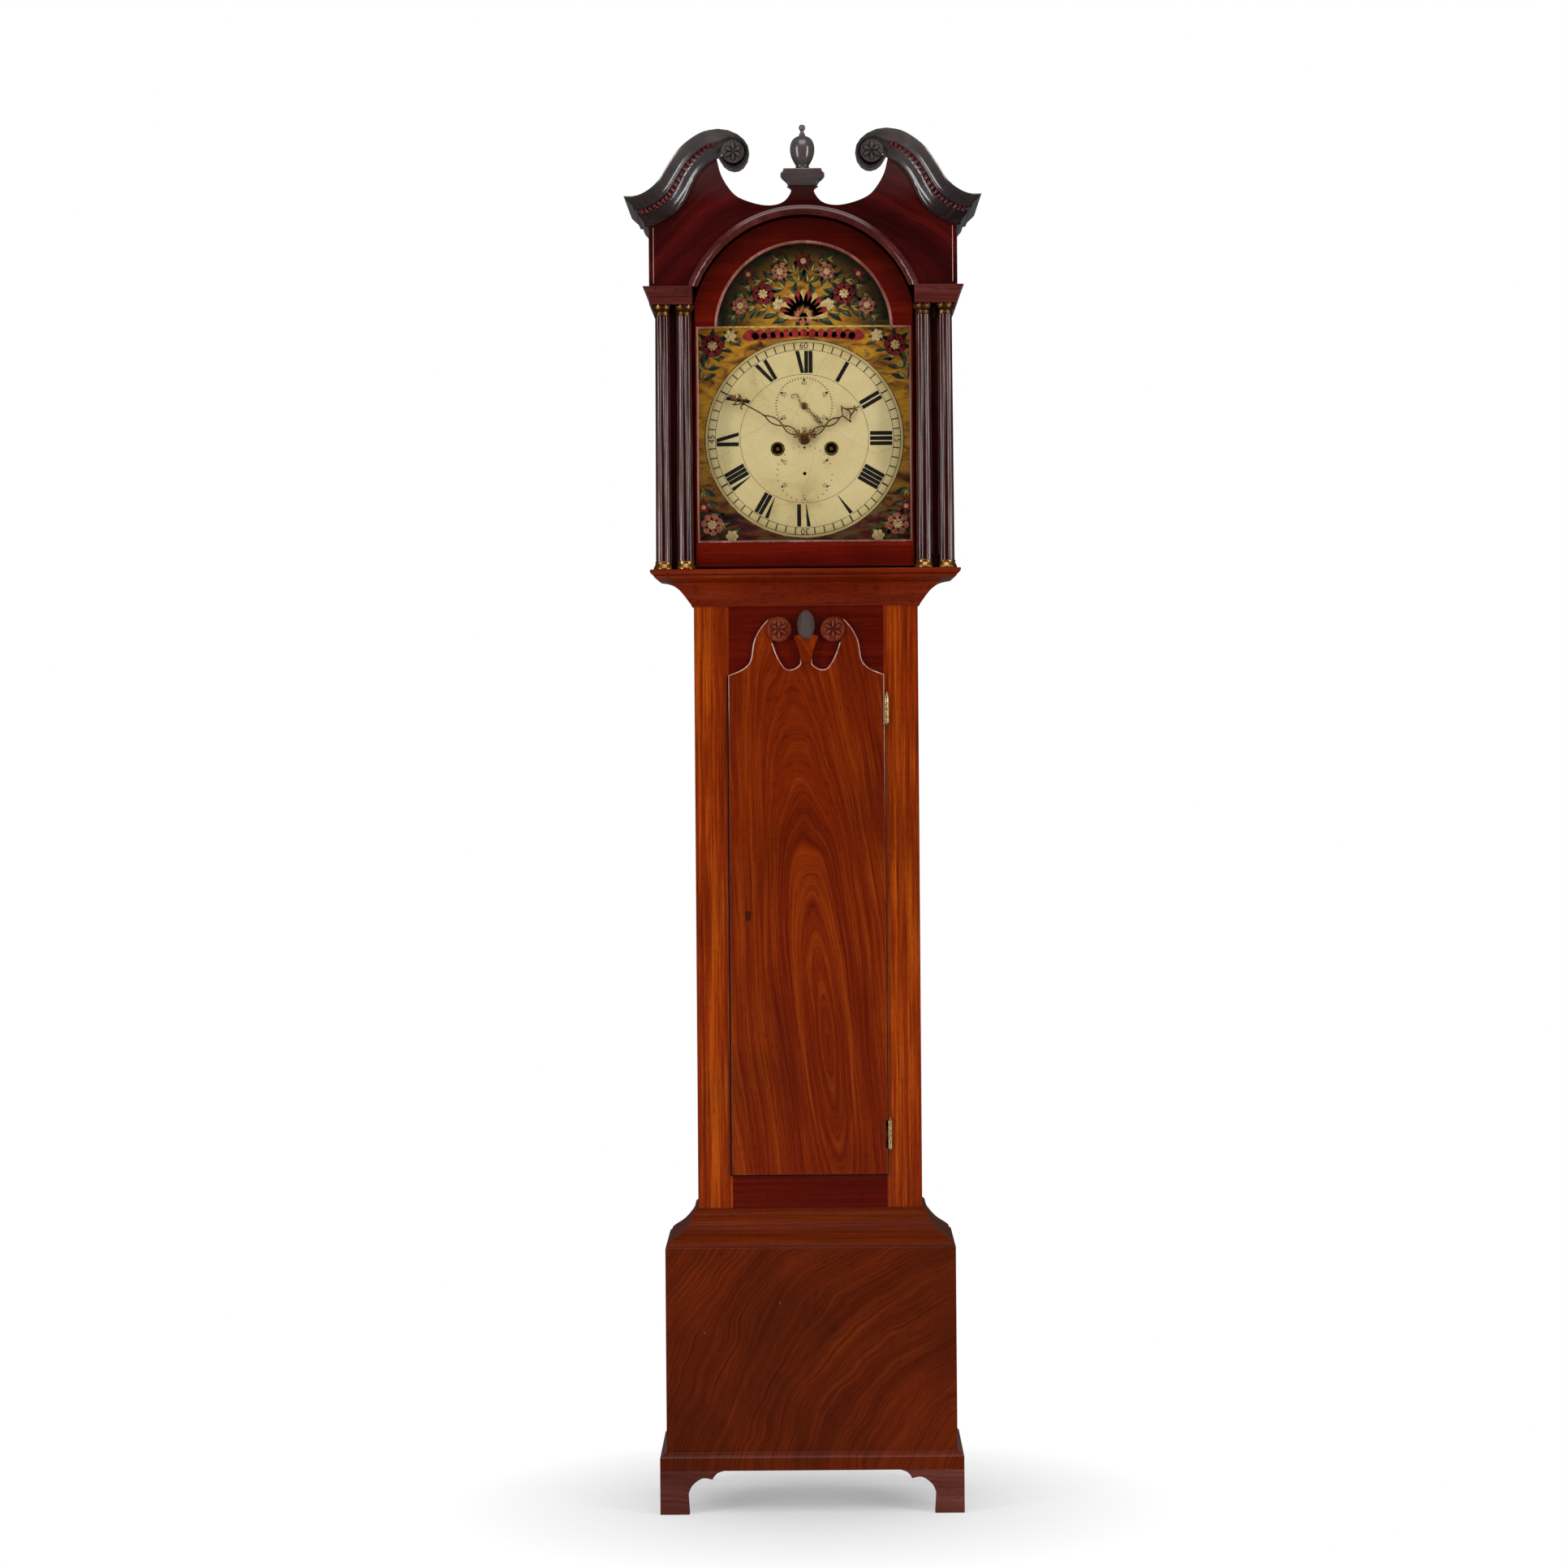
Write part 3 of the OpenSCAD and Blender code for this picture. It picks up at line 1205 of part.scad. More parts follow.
// the two falls of a gut line, barrel to pulley and pulley to seatboard
module line(s) {
  reach = barrel_r + line_r + gap;
  for (f = [[-reach, line_z], [reach, seat_z + seat_t + 3]])
    translate([s * weight_x + f[0], line_y, pulley_z]) cylinder(r = line_r, h = f[1] - pulley_z, $fn = 16);
}

module going_line() {
  color("#b09a60") line(1);
}

module strike_line() {
  color("#b09a60") line(-1);
}

// hands, drawn pointing up and then turned to the time shown
module lens(z0, z1, wide, t) {
  mid = (z0 + z1) / 2;
  h = (z1 - z0) / 2;
  outer = [for (i = [0:11]) let (a = 30 * i) [wide * sin(a), mid + h * cos(a)]];
  inner = [for (i = [0:11]) let (a = 30 * i) [(wide - t) * sin(a), mid + (h - 1.5 * t) * cos(a)]];
  difference() {
    polygon(outer);
    polygon(inner);
  }
}

module place_hand(at, y, t, turn) {
  translate([at[0], 0, dial_z + at[1]]) rotate([0, turn, 0]) board(y, t) children();
}

hand_t = 1;
module minute_hand() {
  len = minute_len;
  color(aged_brass) {
    place_hand([0, 0], dial_y - 11, hand_t, 300) difference() {
      union() {
        circle(r = 9);
        lens(8, len * 0.3, 3.4, 1.1);
        lens(len * 0.29, len * 0.5, 3, 1.1);
        translate([-0.7, len * 0.49]) square([1.4, len * 0.28]);
        lens(len * 0.75, len * 0.9, 4.2, 1.2);
        polygon([[-1, len * 0.89], [1, len * 0.89], [0.3, len], [-0.3, len]]);
      }
      circle(r = 3.2 + fit);
    }
    difference() {
      rod([0, 0], 4.8, dial_y - 13.4, dial_y - 12);
      rod([0, 0], arbor_r + fit, dial_y - 14, dial_y - 11);
    }
  }
}

module hour_hand() {
  len = hour_len;
  color(aged_brass) place_hand([0, 0], dial_y - 6, hand_t, 60) difference() {
    union() {
      circle(r = 9.4);
      lens(8, len * 0.36, 4, 1.2);
      lens(len * 0.35, len * 0.6, 3.4, 1.2);
      polygon([[1, len * 0.59], [7, len * 0.66], [4, len * 0.72], [7, len * 0.78], [1.2, len * 0.84],
        [-1.2, len * 0.84], [-7, len * 0.78], [-4, len * 0.72], [-7, len * 0.66], [-1, len * 0.59]]);
      polygon([[-1, len * 0.83], [1, len * 0.83], [0.3, len], [-0.3, len]]);
    }
    circle(r = 4.6 + fit);
  }
}

module seconds_hand() {
  len = seconds_len;
  color(aged_brass) place_hand(escape_at, dial_y - 3.5, hand_t, 136) difference() {
    union() {
      circle(r = 5.5);
      translate([-0.6, 4]) square([1.2, len - 4]);
      lens(len * 0.5, len * 0.75, 2.8, 1);
      translate([-0.8, -26]) square([1.6, 22]);
    }
    circle(r = pivot_r + fit);
  }
}

backboard();
trunk_sides();
trunk_front_frame();
hood_support_moulding();
waist_moulding();
base_boards();
plinth_moulding();
bracket_feet();
seatboard();
trunk_hinge_leaves();
dial();
dial_feet_and_pillars();
front_plate();
back_plate();
back_cock();
bell();
hood_base_frame();
hood_boards();
tympanum();
capital_and_arch_moulding();
outer_columns();
outer_column_brasses();
swan_necks();
pediment_rosettes();
finial();
dial_mask();
hood_door_frame();
hood_door_glass();
hood_door_columns();
hood_door_brasses();
trunk_door_panel();
trunk_door_carving();
trunk_door_brasses();
lock_bolt();
going_great_wheel();
going_barrel();
centre_wheel();
minute_hand();
minute_wheel();
hour_wheel();
hour_hand();
third_wheel();
escape_wheel();
seconds_hand();
anchor();
pendulum_rod();
pendulum_bob();
strike_great_wheel();
strike_barrel();
pin_wheel();
gathering_wheel();
warning_wheel();
fly();
hammer();
going_weight();
strike_weight();
going_pulley();
strike_pulley();
going_line();
strike_line();
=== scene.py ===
import math
import random
import bmesh
import bpy
from mathutils import Matrix, Vector


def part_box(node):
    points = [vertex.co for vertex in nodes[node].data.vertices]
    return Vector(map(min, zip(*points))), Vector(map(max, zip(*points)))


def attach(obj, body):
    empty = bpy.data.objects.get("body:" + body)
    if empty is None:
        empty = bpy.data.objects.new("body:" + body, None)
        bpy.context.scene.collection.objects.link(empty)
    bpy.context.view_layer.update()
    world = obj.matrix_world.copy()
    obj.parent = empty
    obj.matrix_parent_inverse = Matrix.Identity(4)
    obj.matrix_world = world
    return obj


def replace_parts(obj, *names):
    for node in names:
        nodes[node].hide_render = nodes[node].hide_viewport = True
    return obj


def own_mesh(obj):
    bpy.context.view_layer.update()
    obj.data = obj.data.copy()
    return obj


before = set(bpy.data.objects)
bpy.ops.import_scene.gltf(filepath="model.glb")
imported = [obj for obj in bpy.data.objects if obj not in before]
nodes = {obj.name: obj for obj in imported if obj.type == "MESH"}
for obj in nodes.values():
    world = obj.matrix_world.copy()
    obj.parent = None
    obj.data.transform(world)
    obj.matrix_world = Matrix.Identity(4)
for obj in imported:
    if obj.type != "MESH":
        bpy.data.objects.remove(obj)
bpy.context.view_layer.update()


# The backboard and the seatboard are sawn softwood planks, left unpolished and
# darkened by age. The backboard runs the whole height and everything is fixed to it.
def colour(red, green, blue):
    """A colour given from 0 to 255, as the shader wants it."""
    return [(c / 255 / 12.92) if c <= 10 else ((c / 255 + 0.055) / 1.055) ** 2.4 for c in (red, green, blue)] + [1]


def finish(name, rough=0.5, metal=0.0, coat=0.0, gloss=0.5):
    made = bpy.data.materials.new(name)
    made.use_nodes = True
    shader = made.node_tree.nodes["Principled BSDF"]
    shader.inputs["Roughness"].default_value = rough
    shader.inputs["Metallic"].default_value = metal
    shader.inputs["Specular IOR Level"].default_value = gloss
    if coat:
        shader.inputs["Coat Weight"].default_value = coat
        shader.inputs["Coat Roughness"].default_value = 0.12
    return made, shader


def add(made, kind, inputs=(), **settings):
    node = made.node_tree.nodes.new(kind)
    for key, value in settings.items():
        setattr(node, key, value)
    for key, value in dict(inputs).items():
        node.inputs[key].default_value = value
    return node


def wire(made, out, into):
    made.node_tree.links.new(out, into)


def placed(made, scale=(1, 1, 1), turn=(0, 0, 0), shift=(0, 0, 0)):
    """Object coordinates, stretched for grain that runs one way."""
    where = add(made, "ShaderNodeTexCoord")
    mapping = add(made, "ShaderNodeMapping", {"Scale": scale, "Rotation": turn, "Location": shift})
    wire(made, where.outputs["Object"], mapping.inputs["Vector"])
    return mapping.outputs["Vector"]


def axes(made, vector):
    split = add(made, "ShaderNodeSeparateXYZ")
    wire(made, vector, split.inputs[0])
    return [split.outputs[axis] for axis in "XYZ"]


def ramp(made, value, stops):
    """Colours along a value. One number is a grey as the shader takes it."""
    node = add(made, "ShaderNodeValToRGB")
    while len(node.color_ramp.elements) < len(stops):
        node.color_ramp.elements.new(0.5)
    for element, (place, tint) in zip(node.color_ramp.elements, stops):
        element.position = place
        element.color = colour(*tint) if isinstance(tint, tuple) else [tint, tint, tint, 1]
    wire(made, value, node.inputs["Fac"])
    return node.outputs["Color"]


def mix(made, share, a, b, kind="MIX"):
    node = add(made, "ShaderNodeMix", data_type="RGBA", blend_type=kind)
    for value, socket in ((share, node.inputs[0]), (a, node.inputs[6]), (b, node.inputs[7])):
        if isinstance(value, (int, float, tuple)):
            socket.default_value = colour(*value) if isinstance(value, tuple) else value
        else:
            wire(made, value, socket)
    return node.outputs[2]


def maths(made, kind, a, b=0.0, clamp=False):
    node = add(made, "ShaderNodeMath", operation=kind, use_clamp=clamp)
    for value, socket in ((a, node.inputs[0]), (b, node.inputs[1])):
        if isinstance(value, (int, float)):
            socket.default_value = value
        else:
            wire(made, value, socket)
    return node.outputs[0]


def shares(made, a, part, b):
    """Two values together, the first with the share that part gives."""
    return maths(made, "ADD", maths(made, "MULTIPLY", a, part), maths(made, "MULTIPLY", b, 1 - part))


def grain(made, vector, scale, detail=3.0, distort=0.0, rough=0.55):
    looks = {"Scale": scale, "Detail": detail, "Distortion": distort, "Roughness": rough}
    node = add(made, "ShaderNodeTexNoise", looks)
    wire(made, vector, node.inputs["Vector"])
    return node.outputs["Fac"]


def bumped(made, shader, height, depth, strength=1.0):
    bump = add(made, "ShaderNodeBump", {"Strength": strength, "Distance": depth})
    wire(made, height, bump.inputs["Height"])
    wire(made, bump.outputs["Normal"], shader.inputs["Normal"])


def give(made, *names):
    """Puts a finish on pieces that come from the frame."""
    for name in names:
        nodes[name].data.materials.clear()
        nodes[name].data.materials.append(made)
        for face in nodes[name].data.polygons:
            face.material_index = 0


deal, shader = finish("old_deal", rough=0.75, gloss=0.3)
broad = grain(deal, placed(deal, (1, 1, 0.05)), 26, 3, 1.4)
fine = grain(deal, placed(deal, (1, 1, 0.02)), 420, 4, 0.2)
lines = shares(deal, broad, 0.6, fine)
planks = ramp(deal, lines, [(0.38, (92, 60, 34)), (0.5, (134, 94, 56)), (0.62, (164, 122, 78))])
plank_joint = 0.021
gap = maths(deal, "ABSOLUTE", maths(deal, "ADD", axes(deal, placed(deal))[0], -plank_joint))
gap = ramp(deal, maths(deal, "MULTIPLY", gap, 100), [(0.06, 0.06), (0.12, 1.0)])
wire(deal, mix(deal, 1.0, planks, gap, "MULTIPLY"), shader.inputs["Base Color"])
bumped(deal, shader, lines, 0.0006, 0.5)
give(deal, "backboard", "seatboard")


# The trunk is a mahogany carcase: two sides, and in front two stiles and two rails round
# the door. The stiles are straight-grained, orange brown and French polished.
def past(made, value, start, slope, clamp=False):
    """How far a value is past a start, times a slope."""
    return maths(made, "MULTIPLY", maths(made, "SUBTRACT", value, start), slope, clamp)


def distance(made, a, b):
    return maths(made, "SQRT", maths(made, "ADD", maths(made, "MULTIPLY", a, a), maths(made, "MULTIPLY", b, b)))


def mahogany(name, dark, middle, light, along="z", eye=None, sway=0.03, sway_size=(3, 3, 0.8), stripe=0.5, rough=0.17,
             coat=0.0, gloss=0.42, blotch=0.35, height_tone=None, chips=0.0):
    """Polished mahogany. The figure is drawn across the grain: straight, or in long ovals round an eye,
    which is given as x, height, lean and how far the ovals are drawn out. A height tone starts at a
    height, grows by a slope over patches and has a colour: a pale one is a painted sheen that greys the
    top, a dark one makes the wood darker towards the top. Chips show the bare wood."""
    made, shader = finish(name, rough=rough, coat=coat, gloss=gloss)
    x, y, z = axes(made, placed(made))
    run = z if along == "z" else x
    across = maths(made, "ADD", x if along == "z" else z, y)
    if eye:
        up = maths(made, "SUBTRACT", z, eye[1])
        side = maths(made, "ADD", maths(made, "SUBTRACT", x, eye[0]), maths(made, "MULTIPLY", up, eye[2]))
        across = distance(made, side, maths(made, "MULTIPLY", up, eye[3]))
    drift = grain(made, placed(made, sway_size), 1.0, 3)
    across = maths(made, "ADD", across, past(made, drift, 0.5, sway * 2))

    def layer(cross, length, detail, rough):
        place = add(made, "ShaderNodeCombineXYZ")
        wire(made, maths(made, "MULTIPLY", across, cross), place.inputs["X"])
        wire(made, maths(made, "MULTIPLY", run, length), place.inputs["Y"])
        return grain(made, place.outputs[0], 1.0, detail, 0, rough)

    bands = layer(34, 0.9, 2, 0.5)
    lines = layer(260, 5, 4, 0.65)
    wood = ramp(made, shares(made, bands, stripe, lines), [(0.34, dark), (0.5, middle), (0.66, light)])
    patina = ramp(made, grain(made, placed(made, (1, 1, 0.7)), 6, 3, 0.4), [(0.34, 0.4), (0.58, 1.0)])
    wood = mix(made, blotch, wood, patina, "MULTIPLY")
    pores = ramp(made, layer(1500, 70, 1, 0.4), [(0.34, 0.3), (0.44, 1.0)])
    wood = mix(made, 0.45, wood, pores, "MULTIPLY")
    # Above the given height a tone is mixed in over patches: a pale tone is a painted sheen, a dark one only darkens
    # the top.
    if height_tone:
        start, slope, tone = height_tone
        patches = maths(made, "ADD", grain(made, placed(made), 30, 4), 0.35)
        height_share = maths(made, "MULTIPLY", past(made, z, start, slope, clamp=True), patches, clamp=True)
        wood = mix(made, height_share, wood, tone)
    if chips:
        spots = grain(made, placed(made, (1, 1, 0.5)), 46, 2, 0.6)
        wood = mix(made, ramp(made, spots, [(0.765, 0.0), (0.785, chips)]), wood, (190, 150, 120))
    wire(made, wood, shader.inputs["Base Color"])
    wire(made, maths(made, "ADD", maths(made, "MULTIPLY", lines, 0.1), rough - 0.05), shader.inputs["Roughness"])
    bumped(made, shader, pores, 0.00006, 0.25)
    return made


def pick(*pieces):
    bpy.ops.object.select_all(action="DESELECT")
    for piece in pieces:
        piece.select_set(True)
    bpy.context.view_layer.objects.active = pieces[0]


def level(piece):
    """Smooth shading that leaves the broad faces flat."""
    pick(piece)
    bpy.ops.object.shade_smooth_by_angle(angle=math.radians(38))
    piece.modifiers.new("level", "WEIGHTED_NORMAL").keep_sharp = True
    bpy.ops.object.modifier_apply(modifier="level")


def ease(piece, edge, corner=40, slot=-1):
    arris = piece.modifiers.new("arris", "BEVEL")
    arris.width = edge
    arris.segments = 2
    arris.limit_method = "ANGLE"
    arris.angle_limit = math.radians(corner)
    arris.material = slot
    bpy.ops.object.modifier_apply(modifier="arris")


def soften(name, edge, made, body, arris_highlight=None):
    """A copy of a piece from the frame with its hard arrises eased, as sanding leaves them, and
    a pale painted highlight on the eased arrises where arris_highlight is given."""
    piece = nodes[name].copy()
    piece.data = nodes[name].data.copy()
    piece.parent = None
    piece.matrix_world = nodes[name].matrix_world.copy()
    piece.name = name + "_eased"
    bpy.context.collection.objects.link(piece)
    for key in list(piece.keys()):
        del piece[key]
    pick(piece)
    bpy.ops.object.mode_set(mode="EDIT")
    bpy.ops.mesh.select_all(action="SELECT")
    bpy.ops.mesh.remove_doubles(threshold=0.00001)
    if edge:
        bpy.ops.mesh.dissolve_limited(angle_limit=math.radians(1))
    bpy.ops.object.mode_set(mode="OBJECT")
    piece.data.materials.clear()
    piece.data.materials.append(made)
    if arris_highlight:
        piece.data.materials.append(arris_highlight)
    if edge:
        ease(piece, edge, slot=1 if arris_highlight else -1)
    level(piece)
    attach(piece, body)
    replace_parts(piece, name)
    return piece


stile_wood = mahogany("stile_mahogany", (86, 15, 0), (136, 44, 0), (188, 86, 6), sway=0.006, stripe=0.4, blotch=0.45)
rail_wood = mahogany("rail_mahogany", (66, 3, 0), (86, 11, 0), (106, 22, 2), along="x", sway=0.01, sway_size=(2, 4, 4))
front = soften("trunk_front_frame", 0.0008, stile_wood, "case")
front.data.materials.append(rail_wood)
joint = 0.1185
cut = bmesh.new()
cut.from_mesh(front.data)
for x in (-joint, joint):
    bmesh.ops.bisect_plane(cut, geom=cut.verts[:] + cut.edges[:] + cut.faces[:], plane_co=(x, 0, 0), plane_no=(1, 0, 0))
for face in cut.faces:
    face.material_index = 1 if abs(face.calc_center_median().x) < joint else 0
cut.to_mesh(front.data)
cut.free()
level(front)
give(stile_wood, "trunk_sides")


# The cove under the hood, the waist moulding and the plinth moulding are run lengths of
# mahogany, mitred at the corners and glued round the case. The base is boarded, on sawn feet.
def put(name, data):
    """A new object in the scene."""
    thing = bpy.data.objects.new(name, data)
    bpy.context.collection.objects.link(thing)
    return thing


def swept(name, section, made, body):
    """A moulding planed to one section, as (reach from the case, height) in mm. It runs round both
    sides and the front, and is mitred at the front corners."""
    half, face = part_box("trunk_sides")[1].x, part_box("trunk_front_frame")[0].y
    foot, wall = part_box(name)[0].z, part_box(name)[1].y
    points = []
    for side, back in ((-1, True), (-1, False), (1, False), (1, True)):
        points += [(side * (half + reach / 1000), wall if back else face - reach / 1000, foot + rise / 1000)
                   for reach, rise in section]
    count = len(section)
    quads = [(k + i, k + (i + 1) % count, k + count + (i + 1) % count, k + count + i)
             for k in (0, count, 2 * count) for i in range(count)]
    quads += [tuple(range(count)), tuple(range(3 * count, 4 * count))]
    planed = bpy.data.meshes.new(name + "_planed")
    planed.from_pydata(points, [], quads)
    cut = bmesh.new()
    cut.from_mesh(planed)
    bmesh.ops.recalc_face_normals(cut, faces=cut.faces[:])
    cut.to_mesh(planed)
    cut.free()
    planed.materials.append(made)
    piece = put(name + "_planed", planed)
    level(piece)
    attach(piece, body)
    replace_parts(piece, name)
    return piece


cove_wood = mahogany("moulding_mahogany", (92, 16, 0), (110, 29, 2), (130, 44, 8), along="x", sway=0.004,
                     sway_size=(1, 4, 4), stripe=0.3)
cove = [(0, 0), (3, 0), (4, 3), (7.8, 8), (12.2, 14.2), (16.7, 20), (21.4, 25.2), (26.3, 29.8), (31.6, 33.8),
        (34.4, 35.7), (0, 35.7)]
swept("hood_support_moulding", cove, cove_wood, "case")
waist_wood = mahogany("waist_mahogany", (76, 18, 0), (96, 31, 2), (118, 44, 6), along="x", sway=0.004,
                      sway_size=(1, 4, 4), stripe=0.3, rough=0.4, gloss=0.06)
base_wood = mahogany("base_mahogany", (76, 19, 0), (98, 30, 0), (116, 41, 3), along="x", eye=(0.5, -0.1, 0.2, 1.1),
                     sway=0.06, sway_size=(3, 2, 4), stripe=0.3, blotch=0.6, chips=0.8)
foot_wood = mahogany("foot_mahogany", (76, 30, 24), (98, 46, 38), (116, 64, 52), along="x", chips=0.8)
soften("waist_moulding", 0.0006, waist_wood, "case")
soften("plinth_moulding", 0.0006, base_wood, "case")
soften("base_boards", 0.0012, base_wood, "case")
soften("bracket_feet", 0.001, foot_wood, "case")

# The hood's base frame sits on the cove and slides forward off the case with all the hood. The
# hood door's lower hinge pin turns in a hole bored in it.
hollow = [(2.4, 0), (34.8, 0), (38.6, 1.9), (44, 3.6), (49, 4.6), (53.5, 5.1), (55, 5.5), (56.8, 6.6), (58.2, 8.4),
          (59, 10.2), (57, 10.6), (57, 11.4)]
nosing = [(60.6, 11.7), (62.4, 12.8), (63.7, 14.6), (64.3, 16.6), (64.3, 19), (63.9, 19.5), (2.4, 19.5)]
base_frame = swept("hood_base_frame", hollow + nosing, cove_wood, "hood")
column_y = sum(corner.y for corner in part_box("outer_columns")) / 2
pin_x, pin_y, pin_hole, sunk = 0.1984, column_y - 0.009, 0.00215, 0.03
hole_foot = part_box("hood_base_frame")[0].z + 0.006
drill = bmesh.new()
bmesh.ops.create_cone(drill, cap_ends=True, segments=24, radius1=pin_hole, radius2=pin_hole, depth=sunk,
                      matrix=Matrix.Translation((pin_x, pin_y, hole_foot + sunk / 2)))
bit = put("pin_drill", bpy.data.meshes.new("pin_drill"))
drill.to_mesh(bit.data)
drill.free()
bored = base_frame.modifiers.new("pin_hole", "BOOLEAN")
bored.object = bit
bpy.context.view_layer.objects.active = base_frame
bpy.ops.object.modifier_apply(modifier="pin_hole")
bpy.data.objects.remove(bit)
level(base_frame)


# The rest of the hood is the darkest wood, almost black red, with a soft sheen. Its frieze and
# swan necks stand over reeded columns, and a pale painted sheen greys the pediment and the frieze's top.
def column_wood(name, x):
    """The reeds have a pale painted highlight along their crests and painted shade between them."""
    made, shader = finish(name + "_column_painted_highlights", rough=0.16, gloss=0.9)
    across, deep, up = axes(made, placed(made))
    side = maths(made, "SUBTRACT", maths(made, "ABSOLUTE", across), x)
    reach = distance(made, side, maths(made, "SUBTRACT", deep, column_y))
    foot, taper = 1.446, 0.004
    crest = maths(made, "ADD", reach, past(made, up, foot, taper))
    streak_wobble = grain(made, placed(made, (1, 1, 0.06)), 170, 4, 0.2)
    crest = maths(made, "ADD", crest, past(made, streak_wobble, 0.5, 0.0010))
    # Painted shade in the hollows between the reeds, rising to a painted highlight on their crests.
    tones = ramp(made, maths(made, "MULTIPLY", crest, 70),
                 [(0.785, (14, 3, 3)), (0.84, (44, 11, 10)), (0.868, (84, 38, 34)), (0.885, (158, 122, 114))])
    wire(made, tones, shader.inputs["Base Color"])
    return made


hood_wood = mahogany("hood_mahogany", (40, 3, 3), (62, 7, 6), (84, 14, 10), along="x", sway=0.03, sway_size=(4, 4, 4),
                     gloss=0.4)
side_wood = mahogany("hood_side_mahogany", (44, 3, 3), (68, 9, 6), (92, 20, 12), sway=0.012, gloss=0.4)
# The frieze greys towards its top: a painted pale sheen.
frieze_wood = mahogany("frieze_mahogany", (38, 2, 2), (58, 6, 6), (82, 14, 10), along="x", eye=(0.0, 1.6, 0.0, 0.8),
                       sway=0.05, sway_size=(3, 4, 5), stripe=0.7, blotch=0.5, gloss=0.4,
                       height_tone=(1.99, 4.5, (120, 84, 84)))
# The hood door's wood is darker towards the top.
hood_door_wood = mahogany("hood_door_mahogany", (66, 3, 0), (92, 12, 1), (112, 24, 4), along="x", sway=0.02,
                          sway_size=(2, 4, 4), stripe=0.6, blotch=0.55, gloss=0.35, height_tone=(1.74, 3.4, (48, 4, 2)))
block_wood = mahogany("block_mahogany", (58, 16, 12), (80, 28, 24), (104, 46, 40), along="x", sway=0.02,
                      sway_size=(4, 4, 4), gloss=0.6)
# The pediment wood greys towards the top: a painted pale sheen.
moulded_wood = mahogany("pediment_mahogany", (22, 10, 10), (38, 22, 22), (70, 48, 46), along="x", sway=0.02,
                        sway_size=(4, 4, 4), rough=0.18, gloss=0.9, height_tone=(1.97, 4.4, (112, 104, 104)))
dentil_wood = mahogany("dentil_mahogany", (68, 12, 11), (94, 24, 22), (120, 44, 40), along="x")
give(hood_wood, "dial_mask")
soften("hood_boards", 0.0006, side_wood, "hood")
soften("tympanum", 0.0008, frieze_wood, "hood")
soften("capital_and_arch_moulding", 0.0004, block_wood, "hood")
necks = soften("swan_necks", 0.0, moulded_wood, "hood")
necks.data.materials.append(dentil_wood)
frieze_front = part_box("tympanum")[0].y
dentil_front = frieze_front - 0.01918
for face in necks.data.polygons:
    if abs(face.center.y - dentil_front) < 0.0001 and face.normal.y < -0.99:
        face.material_index = 1
soften("pediment_rosettes", 0.0004, moulded_wood, "hood")
soften("outer_columns", 0.0, column_wood("outer", 0.2149), "hood")
soften("hood_door_columns", 0.0, column_wood("door", 0.1819), "hood_door")
soften("hood_door_frame", 0.001, hood_door_wood, "hood_door")

# The trunk door is one wide board with a flame figure and a moulded lip. Three small carvings are
# glued on its shaped top, and the lip's arrises carry a pale painted highlight.
door_wood = mahogany("door_mahogany", (80, 12, 0), (114, 32, 0), (150, 60, 4), eye=(0.03, 0.70, 0.10, 0.13), sway=0.03,
                     sway_size=(5, 5, 1.6), stripe=0.5, blotch=0.45)
# Nearly white: a painted highlight for the lip's arrises.
edge_highlight_wood = mahogany("painted_edge_highlight", (140, 78, 58), (190, 142, 126), (226, 198, 188), sway=0.01, gloss=0.9)
soften("trunk_door_panel", 0.0028, door_wood, "trunk_door", arris_highlight=edge_highlight_wood)
soften("trunk_door_carving", 0.0004, door_wood, "trunk_door")


# Brass is cast and turned for the column ends, hands, pulleys and wheels. The fittings outside
# have aged to a golden brown, and the movement is cleaner.
def brass(name, low, high, rough):
    made, shader = finish(name, rough=rough, metal=1.0)
    tarnish = grain(made, placed(made), 160, 4, 0.5)
    wire(made, ramp(made, tarnish, [(0.32, low), (0.6, high)]), shader.inputs["Base Color"])
    wire(made, ramp(made, tarnish, [(0.3, rough + 0.2), (0.65, rough)]), shader.inputs["Roughness"])
    bumped(made, shader, tarnish, 0.0001, 0.3)
    return made


aged_brass = brass("aged_brass", (92, 60, 24), (176, 130, 66), 0.38)
dark_brass = brass("dark_column_brass", (60, 36, 20), (146, 100, 58), 0.3)
# Near black: painted shade on the hood door's hinge pins, which stand between the columns.
pin_shade = brass("hood_pin_painted_shade", (10, 6, 5), (34, 22, 18), 0.5)
column_brass = brass("column_brass", (96, 60, 28), (190, 140, 80), 0.26)
clock_brass = brass("clock_brass", (176, 132, 62), (214, 172, 92), 0.26)
capital_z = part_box("dial")[0].z + 0.1
for name, body in (("outer_column_brasses", "hood"), ("hood_door_brasses", "hood_door")):
    piece = soften(name, 0.0, column_brass, body)
    piece.data.materials.append(pin_shade)
    piece.data.materials.append(dark_brass)
    for face in piece.data.polygons:
        if abs(abs(face.center.x) - pin_x) < 0.0045:
            face.material_index = 1
        elif face.center.z > capital_z:
            face.material_index = 2
give(aged_brass, "minute_hand", "hour_hand", "seconds_hand", "going_pulley", "strike_pulley")
give(clock_brass, "front_plate", "back_plate", "back_cock", "bell", "going_great_wheel", "going_barrel", "centre_wheel",
     "minute_wheel", "hour_wheel", "third_wheel", "escape_wheel", "pendulum_bob", "strike_great_wheel",
     "strike_barrel", "pin_wheel", "gathering_wheel", "warning_wheel", "fly")


